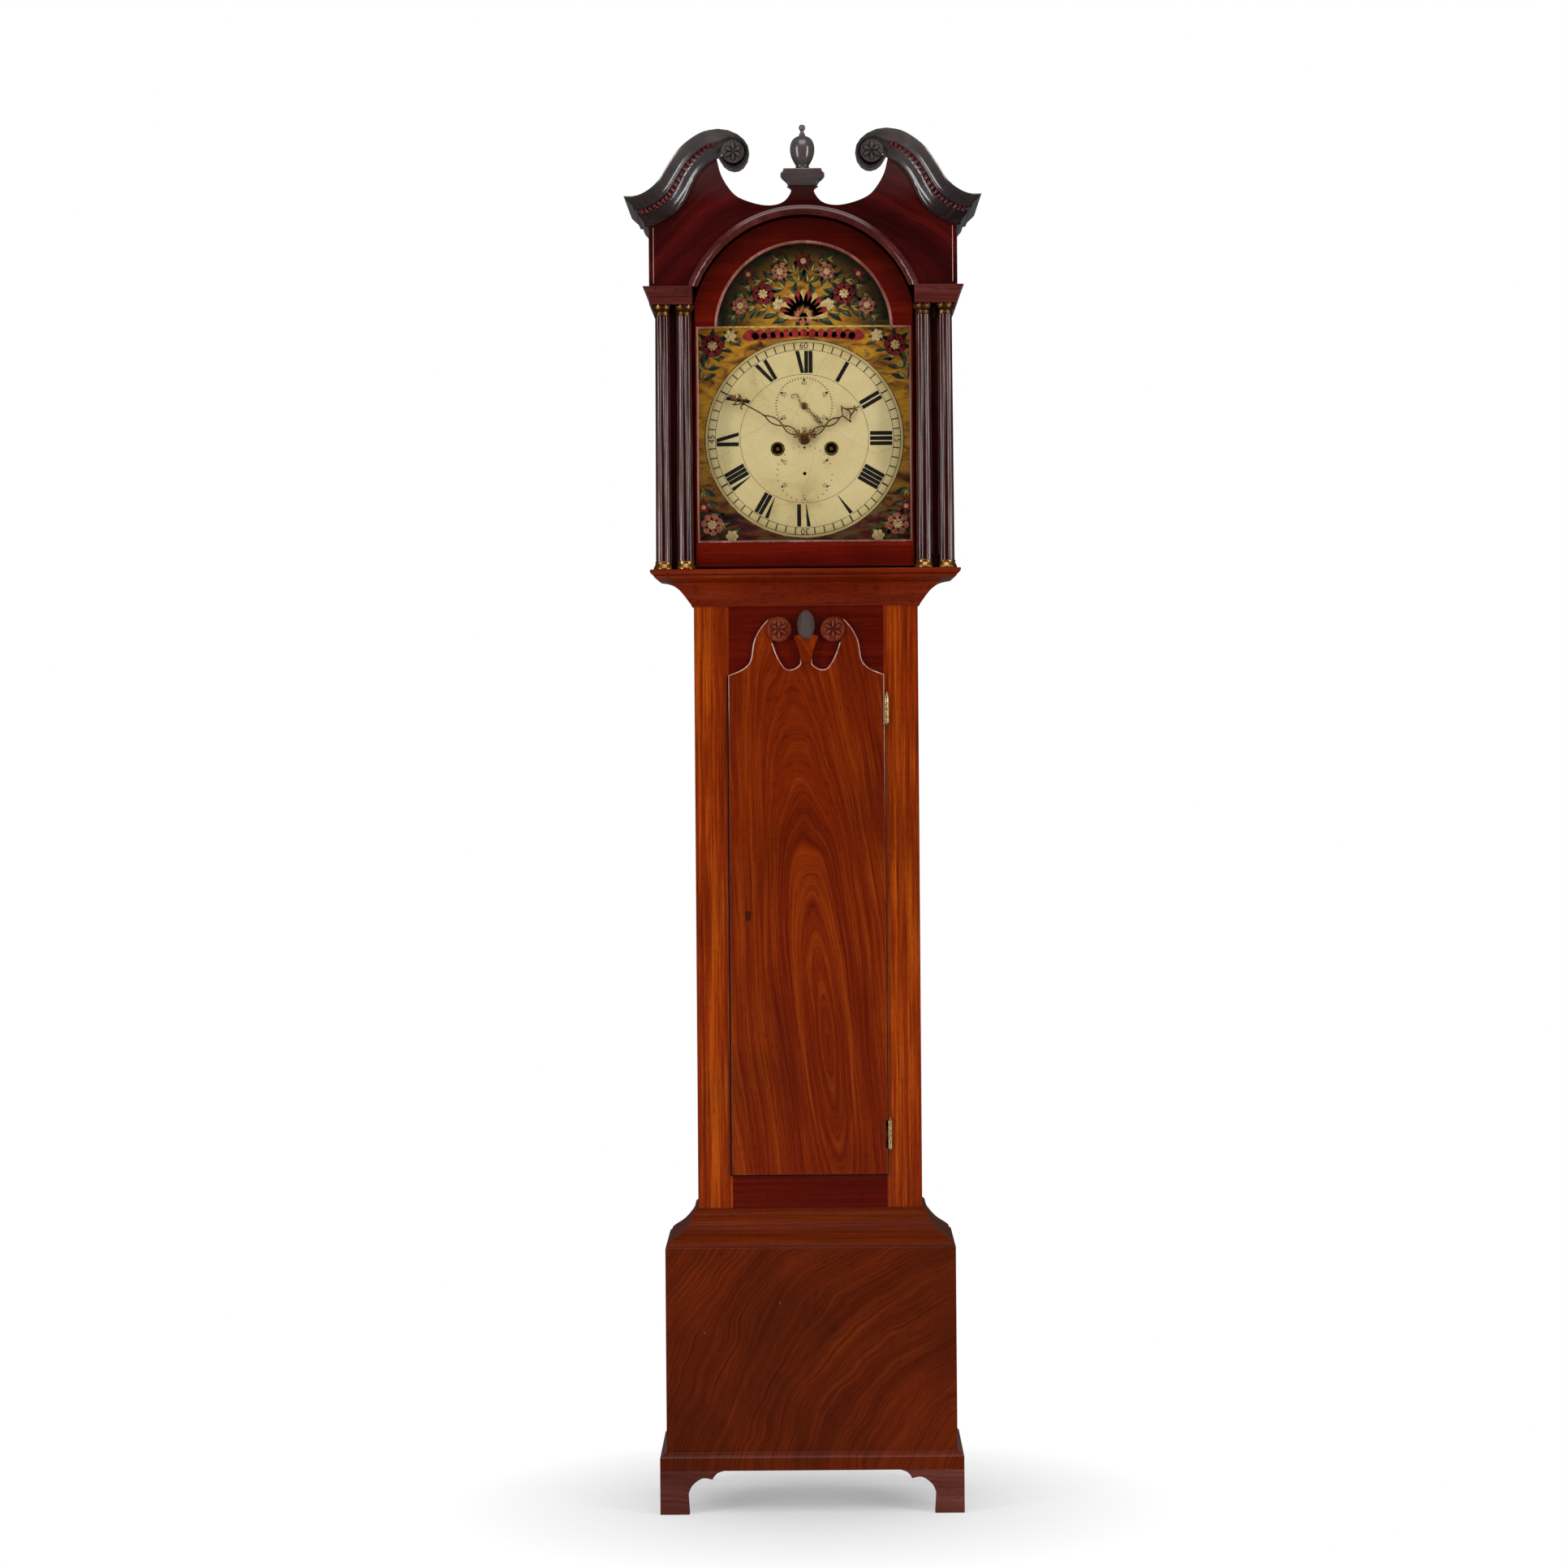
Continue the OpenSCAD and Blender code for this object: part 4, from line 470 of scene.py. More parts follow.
# The pallets, pendulum rod, lock bolt, hammer and dial feet are dull steel. The weights are
# rough cast iron, and hang in lines of twisted gut.
def mottled(name, tones, scale, detail, distort=0.0, stretch=(1, 1, 1), bump=None, **looks):
    """A finish whose colour wanders between tones."""
    made, shader = finish(name, **looks)
    patches = grain(made, placed(made, stretch), scale, detail, distort)
    wire(made, ramp(made, patches, tones), shader.inputs["Base Color"])
    if bump:
        bumped(made, shader, patches, *bump)
    return made


steel = mottled("dull_steel", [(0.3, (112, 112, 116)), (0.7, (150, 150, 152))], 500, 3, stretch=(1, 1, 0.1),
                bump=(0.00005, 0.3), rough=0.36, metal=1.0)
iron = mottled("cast_iron", [(0.35, (34, 34, 35)), (0.7, (62, 60, 58))], 420, 5, bump=(0.0005, 0.6), rough=0.62,
               metal=0.6)
gut = mottled("gut_line", [(0.3, (120, 92, 48)), (0.7, (190, 158, 100))], 900, 2, stretch=(1, 1, 0.5))
give(steel, "lock_bolt", "anchor", "pendulum_rod", "hammer", "dial_feet_and_pillars")
give(iron, "going_weight", "strike_weight")
give(gut, "going_line", "strike_line")


# The dial is a sheet of iron, primed and painted in oils. Its chapter disc is cream, finely
# crazed and a little dirty. The corners and the arch have an ochre ground with darker edges.
def length(made, vector):
    node = add(made, "ShaderNodeVectorMath", operation="LENGTH")
    wire(made, vector, node.inputs[0])
    return node.outputs["Value"]


dial_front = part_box("dial")[0].y
dial_z = sum(corner.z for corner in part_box("centre_wheel")) / 2
disc_r, dial_shoulder, arch_eye = 0.1525, 0.1716, 1.826

paint, shader = finish("dial_paint", rough=0.45, gloss=0.25)
flat_place = placed(paint, (1, 0, 1), shift=(0, 0, -dial_z))
reach = length(paint, flat_place)
up = axes(paint, flat_place)[2]
stains = grain(paint, placed(paint), 11, 6, 0.5)
cream = ramp(paint, stains, [(0.3, (172, 151, 100)), (0.48, (199, 180, 126)), (0.7, (208, 191, 140))])
for size, share, thin in ((30, 0.24, 0.008), (8, 0.34, 0.0035)):
    cracks = add(paint, "ShaderNodeTexVoronoi", {"Scale": size}, feature="DISTANCE_TO_EDGE")
    wobble = add(paint, "ShaderNodeTexNoise", {"Scale": 22})
    wire(paint, flat_place, wobble.inputs["Vector"])
    wander = add(paint, "ShaderNodeVectorMath", {1: (0.02, 0.02, 0.02)}, operation="MULTIPLY_ADD")
    wire(paint, wobble.outputs["Color"], wander.inputs[0])
    wire(paint, flat_place, wander.inputs[2])
    wire(paint, wander.outputs[0], cracks.inputs["Vector"])
    craze = ramp(paint, cracks.outputs["Distance"], [(0.0, (70, 50, 28)), (thin, 1.0)])
    cream = mix(paint, share, cream, craze, "MULTIPLY")
cream = mix(paint, 0.8, cream, ramp(paint, reach, [(0.138, 1.0), (0.152, (206, 196, 160))]), "MULTIPLY")
strokes = grain(paint, placed(paint, (1, 1, 2.4), turn=(0, 0.5, 0)), 26, 5, 0.8)
ochre = ramp(paint, strokes,
             [(0.32, (56, 28, 8)), (0.45, (136, 88, 14)), (0.58, (178, 126, 24)), (0.72, (78, 62, 20))])
shade = ramp(paint, strokes, [(0.32, (16, 10, 8)), (0.45, (70, 14, 14)), (0.58, (92, 60, 20)), (0.72, (46, 74, 64))])
low_down = maths(paint, "MULTIPLY", maths(paint, "SUBTRACT", -0.01, up), 9, clamp=True)
corners = mix(paint, low_down, ochre, shade)
arch_reach = length(paint, placed(paint, (0.86, 0, 1), shift=(0, 0, -arch_eye)))
edge = maths(paint, "ADD", arch_reach, past(paint, strokes, 0.5, 0.09))
dusk = ramp(paint, strokes, [(0.35, (12, 14, 10)), (0.55, (30, 32, 18)), (0.75, (70, 62, 28))])
arch = mix(paint, ramp(paint, edge, [(0.045, 0.0), (0.105, 1.0)]), ochre, dusk)
ground = mix(paint, maths(paint, "GREATER_THAN", up, dial_shoulder), corners, arch)
wire(paint, mix(paint, maths(paint, "GREATER_THAN", reach, disc_r), cream, ground), shader.inputs["Base Color"])
bumped(paint, shader, stains, 0.0002, 0.25)
give(paint, "dial")


# The numbers, the minute track and the two small rings are painted in thin black, worn to
# brown in places. They are flat shapes a tenth of a millimetre thick on the dial's face.
def mm(points):
    return [(x / 1000, z / 1000) for x, z in points]


def tidy(piece):
    pick(piece)
    bpy.ops.object.mode_set(mode="EDIT")
    bpy.ops.mesh.select_all(action="SELECT")
    bpy.ops.mesh.remove_doubles(threshold=0.000005)
    bpy.ops.mesh.normals_make_consistent(inside=False)
    bpy.ops.object.mode_set(mode="OBJECT")


def as_mesh(name, outline, thick):
    """Turns a curve or text into a mesh that faces the front."""
    shape = put(name, outline)
    pick(shape)
    bpy.ops.object.convert(target="MESH")
    shape.data.transform(Matrix.Translation((0, -thick / 2, 0)) @ Matrix.Rotation(math.pi / 2, 4, "X"))
    tidy(shape)
    return shape


def flat(name, outlines, thick=0.0001):
    """A thin flat shape. The outlines are given in x and z, and its back lies on y = 0."""
    curve = bpy.data.curves.new(name, "CURVE")
    curve.dimensions = "2D"
    curve.fill_mode = "BOTH"
    curve.extrude = thick / 2
    for outline in outlines:
        spline = curve.splines.new("POLY")
        spline.points.add(len(outline) - 1)
        for point, (x, z) in zip(spline.points, outline):
            point.co = (x, z, 0, 1)
        spline.use_cyclic_u = True
    return as_mesh(name, curve, thick)


def ring(radius, wide, x=0.0, z=0.0, steps=128):
    turns = [2 * math.pi * i / steps for i in range(steps)]
    return [[(x + r * math.cos(a), z + r * math.sin(a)) for a in turns] for r in (radius - wide / 2, radius + wide / 2)]


def spoke(turn, inner, outer, wide, z=0.0, lean=(0.0, 0.0), inner_wide=None):
    """A stroke that points at a centre. Lean gives how far its outer and inner ends lie to the right."""
    inner_wide = wide if inner_wide is None else inner_wide
    a = math.radians(turn)
    ends = ((lean[0] - wide / 2, outer), (lean[0] + wide / 2, outer),
            (lean[1] + inner_wide / 2, inner), (lean[1] - inner_wide / 2, inner))
    return [(t * math.cos(a) + r * math.sin(a), z - t * math.sin(a) + r * math.cos(a)) for t, r in ends]


def numbers(marks, radius, high, z=0.0):
    """Painted numbers that stand on a circle, their feet towards the centre."""
    row = []
    for text, turn in marks:
        letters = bpy.data.curves.new("number", "FONT")
        letters.body = text
        letters.size = high * 1.4
        letters.align_x = "CENTER"
        letters.align_y = "CENTER"
        letters.extrude = 0.00005
        shape = as_mesh("number", letters, 0.0001)
        a = math.radians(turn)
        foot = Matrix.Translation((radius * math.sin(a), 0, z + radius * math.cos(a)))
        shape.data.transform(foot @ Matrix.Rotation(a, 4, "Y"))
        row.append(shape)
    return row


def joined(name, shapes, made, body):
    """Several shapes as one piece, which rides on a body."""
    pick(*shapes)
    if len(shapes) > 1:
        bpy.ops.object.join()
    piece = shapes[0]
    piece.name = name
    piece.data.materials.clear()
    piece.data.materials.append(made)
    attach(piece, body)
    return piece


black = mottled("number_black", [(0.4, (9, 7, 7)), (0.64, (24, 18, 14)), (0.8, (84, 68, 46))], 260, 4, 0.3,
                rough=0.5, gloss=0.3)
brown = mottled("worn_brown", [(0.4, (34, 26, 18)), (0.58, (64, 50, 34)), (0.72, (150, 132, 92))], 90, 5, 0.3,
                rough=0.5, gloss=0.3)
seconds_z, calendar_z = 0.050, -0.0535
hours = {12: ((-10.3, -2.2, 5.6), (3.6, 3.6, 6), (10.3, 10.3, 6)), 1: ((0, 0, 6),), 2: ((-4, -4, 6), (4, 4, 6)),
         3: ((-7.8, -7.8, 6), (0, 0, 6), (7.8, 7.8, 6)),
         4: ((-10.2, -10.2, 6), (-3.4, -3.4, 6), (3.4, 3.4, 6), (10.2, 10.2, 6)),
         5: ((-4.2, 0, 0.9),), 6: ((-5.8, -1.8, 0.9), (9, 9, 6)), 7: ((-9.5, -5, 0.9), (2, 2, 6), (9, 9, 6)),
         8: ((-12, -8, 0.9), (-1.5, -1.5, 6), (5.2, 5.2, 6), (12, 12, 6)), 9: ((-8, -8, 6), (-2.2, 7.6, 5.6)),
         10: ((-5, 7.4, 5.6),), 11: ((-6.7, 2.2, 5.6), (8.3, 8.3, 6))}
bars = [spoke(30 * hour, 0.1005, 0.1345, 0.0060, lean=(outer / 1000, inner / 1000), inner_wide=wide / 1000)
        for hour, marks in hours.items() for outer, inner, wide in marks]
ticks = [spoke(6 * i, 0.1368, 0.1468, 0.0022 if i % 5 == 0 else 0.0017) for i in range(60) if i % 15]
quarters = numbers((("60", 0), ("15", 90), ("30", 180), ("45", 270)), 0.1418, 0.0098)
bars = flat("bars", bars + ticks + ring(0.0021, 0.0012, 0, calendar_z, 24))
numerals = joined("dial_numbers", [bars] + quarters, black, "case")
small = ring(0.1364, 0.0008) + ring(0.1474, 0.0009) + ring(0.0985, 0.0006) + ring(0.1522, 0.0014)
small += [spoke(6 * i, 0.0416, 0.0444, 0.0012, seconds_z) for i in range(60)]
small += [spoke(360 / 31 * i, 0.0408, 0.0434, 0.0011, calendar_z) for i in range(31) if i % 7]
for i in range(6):
    a = math.radians(60 * i)
    for wide, out, z in ((0.0022, 0.0400, seconds_z), (0.0019, 0.0398, calendar_z)):
        small.append(ring(0.0009, wide, out * math.sin(a), z + out * math.cos(a), 10)[1])
tiny = numbers((("60", 0), ("10", 60), ("20", 120), ("30", 180), ("40", 240), ("50", 300)), 0.0350, 0.0058, seconds_z)
tiny += numbers((("5", 60), ("10", 120), ("15", 180), ("20", 240), ("25", 300)), 0.0350, 0.0056, calendar_z)
rings = joined("dial_rings", [flat("rings", small)] + tiny, brown, "case")
for piece in (numerals, rings):
    piece.data.transform(Matrix.Translation((0, dial_front, dial_z)))


# The corners and the arch are filled with leaf sprays, a fan and small flowers, painted in
# dark green, gold, deep red and cream, one brush stroke to a leaf or a petal.
def stamped(name, shape, places, made, body="case"):
    """One shape copied to many places, as one piece."""
    mesh = bmesh.new()
    for place in places:
        part = shape.data.copy()
        part.transform(place)
        mesh.from_mesh(part)
        bpy.data.meshes.remove(part)
    mesh.to_mesh(shape.data)
    mesh.free()
    return joined(name, [shape], made, body)


def dab(x, z, turn, size, lift=0.0, wide=1.0):
    """Where one brush stroke goes, from the dial's centre, in millimetres and degrees."""
    place = Matrix.Translation((x / 1000, dial_front - lift, dial_z + z / 1000))
    return place @ Matrix.Rotation(math.radians(turn), 4, "Y") @ Matrix.Diagonal((size * wide, 1, size, 1))


def oil(name, *tones):
    stops = [(0.3 + 0.4 * i / (len(tones) - 1), tone) for i, tone in enumerate(tones)]
    return mottled(name, stops, 130, 4, 1.2, rough=0.42, gloss=0.3)


leaf = [(0, 0), (2.2, 3), (3.3, 7), (3.0, 11), (1.6, 15.5), (0, 19), (-1.6, 15.5), (-3.0, 11), (-3.3, 7), (-2.2, 3)]
petal = [(0, 0), (1.6, 1.6), (3.2, 4.6), (3.4, 7.4), (2.2, 9.4), (0, 10), (-2.2, 9.4), (-3.4, 7.4), (-3.2, 4.6),
         (-1.6, 1.6)]
chance = random.Random(11)
dark_leaves, green_leaves, gold_leaves, red_petals, rose_petals, pale_petals = [], [], [], [], [], []
eyes, red_fan, pale_fan = [], [], []


def spray(points, size):
    """Leaves along a line, to both sides, smaller towards its end."""
    for i, (x, z) in enumerate(points[:-1]):
        heading = math.degrees(math.atan2(points[i + 1][0] - x, points[i + 1][1] - z))
        near = size * (1 - 0.5 * i / len(points))
        for side in (-1, 1):
            dark_leaves.append(dab(x, z, heading + side * (48 + chance.uniform(-9, 9)), near * 1.12, 0.0001))
            green_leaves.append(dab(x, z, heading + side * (40 + chance.uniform(-9, 9)), near * 0.85, 0.0002, 0.8))
            vein = heading + side * (22 + chance.uniform(-6, 6))
            gold_leaves.append(dab(x + side, z, vein, near * 0.62, 0.0003, 0.55))


def flower(x, z, size, petals, count=7):
    start = chance.uniform(0, 50)
    for i in range(count):
        dark_leaves.append(dab(x, z, start + 360 / count * (i + 0.5), size * 0.95, 0.0001))
        petals.append(dab(x, z, start + 360 / count * i, size * 1.15, 0.0004))
        pale_petals.append(dab(x, z, start + 360 / count * (i + 0.4), size * 0.5, 0.0005, 0.7))
    eyes.append(dab(x, z, 0, size * 0.30, 0.0006))


for side in (-1, 1):
    for size, points in ((1.35, ((22, 186), (38, 194), (55, 200), (73, 202), (90, 198), (105, 189), (117, 178))),
                         (1.3, ((16, 214), (30, 230), (47, 240), (65, 242), (81, 236), (93, 224), (99, 212))),
                         (1.1, ((8, 240), (14, 256), (25, 268), (38, 275), (50, 274))),
                         (1.15, ((156, 92), (150, 108), (140, 124), (126, 138), (110, 149), (92, 158))),
                         (1.15, ((157, -76), (153, -96), (143, -114), (128, -129), (110, -141), (90, -150))),
                         (0.8, ((158, 150), (158, 132), (158, 114), (158, 98)))):
        spray([(side * x, z) for x, z in points], size)
    for x, z, size, petals, count in ((62, 222, 1.5, red_petals, 7), (97, 204, 1.1, rose_petals, 7),
                                      (36, 256, 1.1, rose_petals, 7), (38, 206, 0.8, pale_petals, 6),
                                      (84, 252, 0.8, red_petals, 6), (140, 143, 1.55, red_petals, 7),
                                      (112, 158, 0.8, pale_petals, 6), (142, -131, 1.5, rose_petals, 7),
                                      (155, -104, 0.8, red_petals, 6), (112, -149, 0.85, pale_petals, 6)):
        flower(side * x, z, size, petals, count)
for i in range(13):
    (red_fan if i % 2 else pale_fan).append(dab(0, 186, -84 + 14 * i, 4.3 - 0.5 * abs(i - 6) / 6, 0.0006, 0.42))
flower(0, 192, 1.5, rose_petals, 8)
flower(0, 272, 1.0, red_petals)
for i in range(-6, 7):
    x = 13.5 * i
    red_fan.append(dab(x, 168.5, 180, 1.25 + 0.1 * abs(i), 0.0003, 2.0))
    eyes.append(dab(x + 6.7, 164.5, 0, 0.24, 0.0006))
for name, shape, places, tones in (
        ("dark_leaves", leaf, dark_leaves, oil("dark_green_oil", (12, 18, 14), (30, 40, 26), (46, 52, 30))),
        ("green_leaves", leaf, green_leaves, oil("green_oil", (30, 44, 34), (62, 76, 50), (88, 98, 58))),
        ("gold_leaves", leaf, gold_leaves, oil("gold_oil", (118, 84, 26), (172, 132, 48), (196, 160, 78))),
        ("red_petals", petal, red_petals, oil("red_petals_oil", (64, 8, 14), (104, 18, 22), (140, 40, 34))),
        ("rose_petals", petal, rose_petals, oil("rose_petals_oil", (116, 50, 42), (158, 88, 66), (186, 126, 90))),
        ("pale_petals", petal, pale_petals, oil("pale_petals_oil", (156, 126, 76), (192, 166, 112), (208, 190, 142))),
        ("flower_eyes", petal, eyes, oil("flower_eyes_oil", (96, 60, 16), (176, 130, 40), (200, 160, 70))),
        ("red_fan", petal, red_fan, oil("red_fan_oil", (92, 12, 18), (132, 26, 28), (166, 54, 42))),
        ("pale_fan", petal, pale_fan, oil("pale_fan_oil", (130, 96, 40), (182, 148, 78), (206, 182, 122)))):
    stamped(name, flat(name, [mm(shape)]), places, tones)
band_oil = oil("band_oil", (150, 118, 40), (190, 158, 74), (206, 182, 104))
band_z = 1.8066
band_edge = mm([(-133.5, -1.2), (133.5, -1.2), (133.5, 1.2), (-133.5, 1.2)])
band = joined("gold_band", [flat("band", [band_edge], 0.0007)], band_oil, "case")
band.data.transform(Matrix.Translation((0, dial_front, band_z)))


# Brass collars line the two winding holes, and the small calendar hole is bare. Near-black sleeves
# inside the collars are painted shade in the holes.
def turned(name, profile, at, made, body, upright=False, steps=48):
    """A turned piece. Its half outline, as radius and length in mm, is spun round a line through a
    point, which runs to the back, or up where the piece is upright."""
    mesh = bpy.data.meshes.new(name)
    mesh.from_pydata([(r, along, 0) for r, along in mm(profile)], [(i, i + 1) for i in range(len(profile) - 1)], [])
    piece = put(name, mesh)
    pick(piece)
    bpy.ops.object.mode_set(mode="EDIT")
    bpy.ops.mesh.select_all(action="SELECT")
    bpy.ops.mesh.spin(steps=steps, angle=2 * math.pi, center=(0, 0, 0), axis=(0, 1, 0))
    bpy.ops.object.mode_set(mode="OBJECT")
    if upright:
        piece.data.transform(Matrix.Rotation(math.pi / 2, 4, "X"))
    piece.data.transform(Matrix.Translation(at))
    tidy(piece)
    bpy.ops.object.shade_smooth_by_angle(angle=math.radians(35))
    piece.data.materials.append(made)
    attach(piece, body)
    return piece


collar_brass = brass("collar_brass", (74, 56, 22), (150, 118, 58), 0.36)
# Near black: painted shade inside the winding holes.
hole_shade = brass("painted_hole_shade", (8, 6, 4), (26, 20, 12), 0.5)
trains = (("strike", -0.041), ("going", 0.041))
arbor_drop = 0.0155
for side, x in trains:
    winding_hole = (x, dial_front, dial_z - arbor_drop)
    turned(side + "_hole_collar", [(8, 0), (8, -1), (8.8, -1.4), (9.8, -1.3), (10.7, -0.5), (10.7, 0), (8, 0)],
           winding_hole, collar_brass, "case")
    turned(side + "_hole_sleeve", [(5.4, 1.9), (5.4, -0.4), (8, -0.9), (8, 0), (5.5, 0.3), (5.4, 1.9)],
           winding_hole, hole_shade, "case")


# The hands are sawn out of thin brass and filed round, so that they look like bent wire. The
# brass has gone brown, and shines only along the top edges.
def rods(name, runs, radius, place, closed=False):
    """Thin rods along lines given in x and z. A third number is a share of the radius."""
    curve = bpy.data.curves.new(name, "CURVE")
    curve.dimensions = "3D"
    curve.bevel_depth = radius
    curve.bevel_resolution = 2
    curve.use_fill_caps = True
    for run in runs:
        spline = curve.splines.new("POLY")
        spline.points.add(len(run) - 1)
        for point, (x, z, *thin) in zip(spline.points, run):
            point.co = (x, 0, z, 1)
            point.radius = thin[0] if thin else 1.0
        spline.use_cyclic_u = closed
    shape = put(name, curve)
    pick(shape)
    bpy.ops.object.convert(target="MESH")
    shape.data.transform(place)
    tidy(shape)
    bpy.ops.object.shade_smooth_by_angle(angle=math.radians(50))
    return shape


def wires(name, runs, radius, node, body, height, turn, boss):
    """A hand of thin rods, along lines given across and along it in mm, with its boss. It takes the
    place of the plain hand of the frame."""
    runs = [[(t / 1000, r / 1000, *thin) for t, r, *thin in run] for run in runs]
    middle = Matrix.Translation((0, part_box(node)[1].y - 0.0006, height))
    place = middle @ Matrix.Rotation(math.radians(turn), 4, "Y") @ Matrix.Diagonal((1, 0.7, 1, 1))
    piece = joined(name, [rods(name, runs, radius, place)] + boss, hand_brass, body)
    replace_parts(piece, node)


def smooth(points, steps=6):
    """A smooth line through points."""
    points = [tuple(p) for p in points]
    full = [points[0]] + points + [points[-1]]
    line = []
    for a, b, c, d in zip(full, full[1:], full[2:], full[3:]):
        for i in range(steps):
            u = i / steps
            line.append(tuple(0.5 * (2 * q + (s - p) * u + (2 * p - 5 * q + 4 * s - w) * u * u
                                     + (3 * q - p - 3 * s + w) * u ** 3) for p, q, s, w in zip(a, b, c, d)))
    return line + [points[-1]]


def pair(points):
    """A smooth line and its mirror image."""
    run = smooth(points)
    return [run, [(-point[0],) + tuple(point[1:]) for point in run]]


hand_brass = brass("hand_brass", (70, 44, 26), (150, 108, 66), 0.4)
minute = pair([(1.2, 9), (-2.6, 15), (-4.6, 22), (-4.0, 30), (0, 38.5), (3.6, 47), (4.6, 55), (3.0, 63), (0.2, 69.5)])
minute += [[(0, 69), (0.3, 84), (0, 100), (0, 108)], [(-0.6, 69), (-0.3, 74)],
           [(0, 119), (0, 128), (0, 133, 0.8), (0, 136.6, 0.35)]]
for points in ([(0, 105), (3.4, 108), (7.2, 107.2), (9.0, 104.6, 0.6)],
               [(0, 108), (-3.6, 112.5), (-6.6, 115.6), (-6.0, 118.6), (-3.2, 118), (0, 120.5), (3.2, 124),
                (5.6, 124.6, 0.6)],
               [(6.6, 115.6), (8.4, 118.6), (8.6, 121.4, 0.4)], [(0, 120.5), (-2.6, 127), (0, 131)],
               [(2, 9.5), (5.4, 12.5), (6.4, 15.6, 0.5)], [(-1, 11), (2.5, 15), (2.2, 18.4, 0.5)]):
    minute += pair(points)
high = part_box("minute_hand")[1]
collet = [(3.2, 0), (3.2, -3.2), (4.2, -4.2), (6, -4), (6.6, -2.6), (7.8, -1.8), (9.2, -1.2), (9.5, 0.2), (8.8, 0.6),
          (3.2, 0.6), (3.2, 0)]
collet = turned("collet", collet, (0, high.y - 0.0006, dial_z), hand_brass, "centre_arbor")
turned("hand_pin", [(0, -4.4), (0.9, -4.2), (1.3, -3), (1.3, 0.4), (0, 0.4)], (0, high.y - 0.0006, dial_z), steel,
       "centre_arbor", steps=16)
wires("minute_hand_pierced", minute, 0.0011, "minute_hand", "centre_arbor", dial_z, 300, [collet])

hour = pair([(1.4, 9), (-3.2, 15), (-4.8, 22), (-3.6, 30), (0, 37), (3.4, 44), (4.2, 51), (2.6, 57), (0.2, 62)])
hour += [[(0, 61), (0, 68)], smooth([(-8.0, 76.4), (-4.4, 79.0), (0, 80.2), (4.4, 79.0), (8.0, 76.4)]),
         [(0, 89), (0, 94), (0, 97.2, 0.4)]]
for points in ([(0, 68), (4.6, 70.2), (8.6, 71.4), (12.4, 73.4)],
               [(12.4, 73.4), (8.2, 76.2), (5.0, 80.6), (2.6, 85.6), (0, 90.4)],
               [(12.0, 73.4), (13.6, 73.6), (14.6, 74.6, 0.6)], [(0, 91), (2.2, 90.2), (4.2, 91.8, 0.6)],
               [(2.4, 9.5), (5.8, 13), (7.2, 16.4, 0.5)], [(-1, 11), (2.2, 15.6), (1.6, 19, 0.5)]):
    hour += pair(points)
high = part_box("hour_hand")[1]
hub = turned("hour_hub", [(4.8, -0.6), (9.2, -0.6), (9.8, 0), (9.2, 0.6), (4.8, 0.6), (4.8, -0.6)],
             (0, high.y - 0.0006, dial_z), hand_brass, "hour_pipe")
wires("hour_hand_pierced", hour, 0.0012, "hour_hand", "hour_pipe", dial_z, 60, [hub])

needle = pair([(0.8, 4.5), (-1.8, 8), (-1.9, 11), (0, 14.5), (1.5, 18), (0.8, 21.5), (0, 23.5)])
needle += pair([(0, 23.5), (2.8, 24.2), (3.4, 26.8), (2.4, 28.6), (3.4, 30.4), (2.6, 33), (0, 33.8)])
needle += [[(-3.6, 28.6), (3.6, 28.6)], [(0, 23.5), (0, 38), (0, 42, 0.5)]]
needle += pair([(0, 35), (2.0, 36.6), (2.2, 38.4, 0.6)])
for points in ([(0, -4.5), (0.6, -8), (-0.6, -12), (-3.4, -15.4), (-4.2, -19.4), (-1.6, -23.2), (2.2, -24.4),
                (4.6, -22.2), (3.4, -19.6)],
               [(-0.4, -11), (-2.6, -10.2, 0.6)], [(-3.6, -16), (-1.6, -17.4, 0.6)]):
    needle.append(smooth(points))
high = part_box("seconds_hand")[1]
boss = turned("seconds_boss", [(0.9, -1.2), (3, -1), (4.8, -0.4), (5.4, 0.4), (4.6, 0.9), (0.9, 0.9), (0.9, -1.2)],
              (0, high.y - 0.0007, dial_z + seconds_z), hand_brass, "escape_arbor", steps=32)
wires("seconds_hand_pierced", needle, 0.00062, "seconds_hand", "escape_arbor", dial_z + seconds_z, 136, [boss])


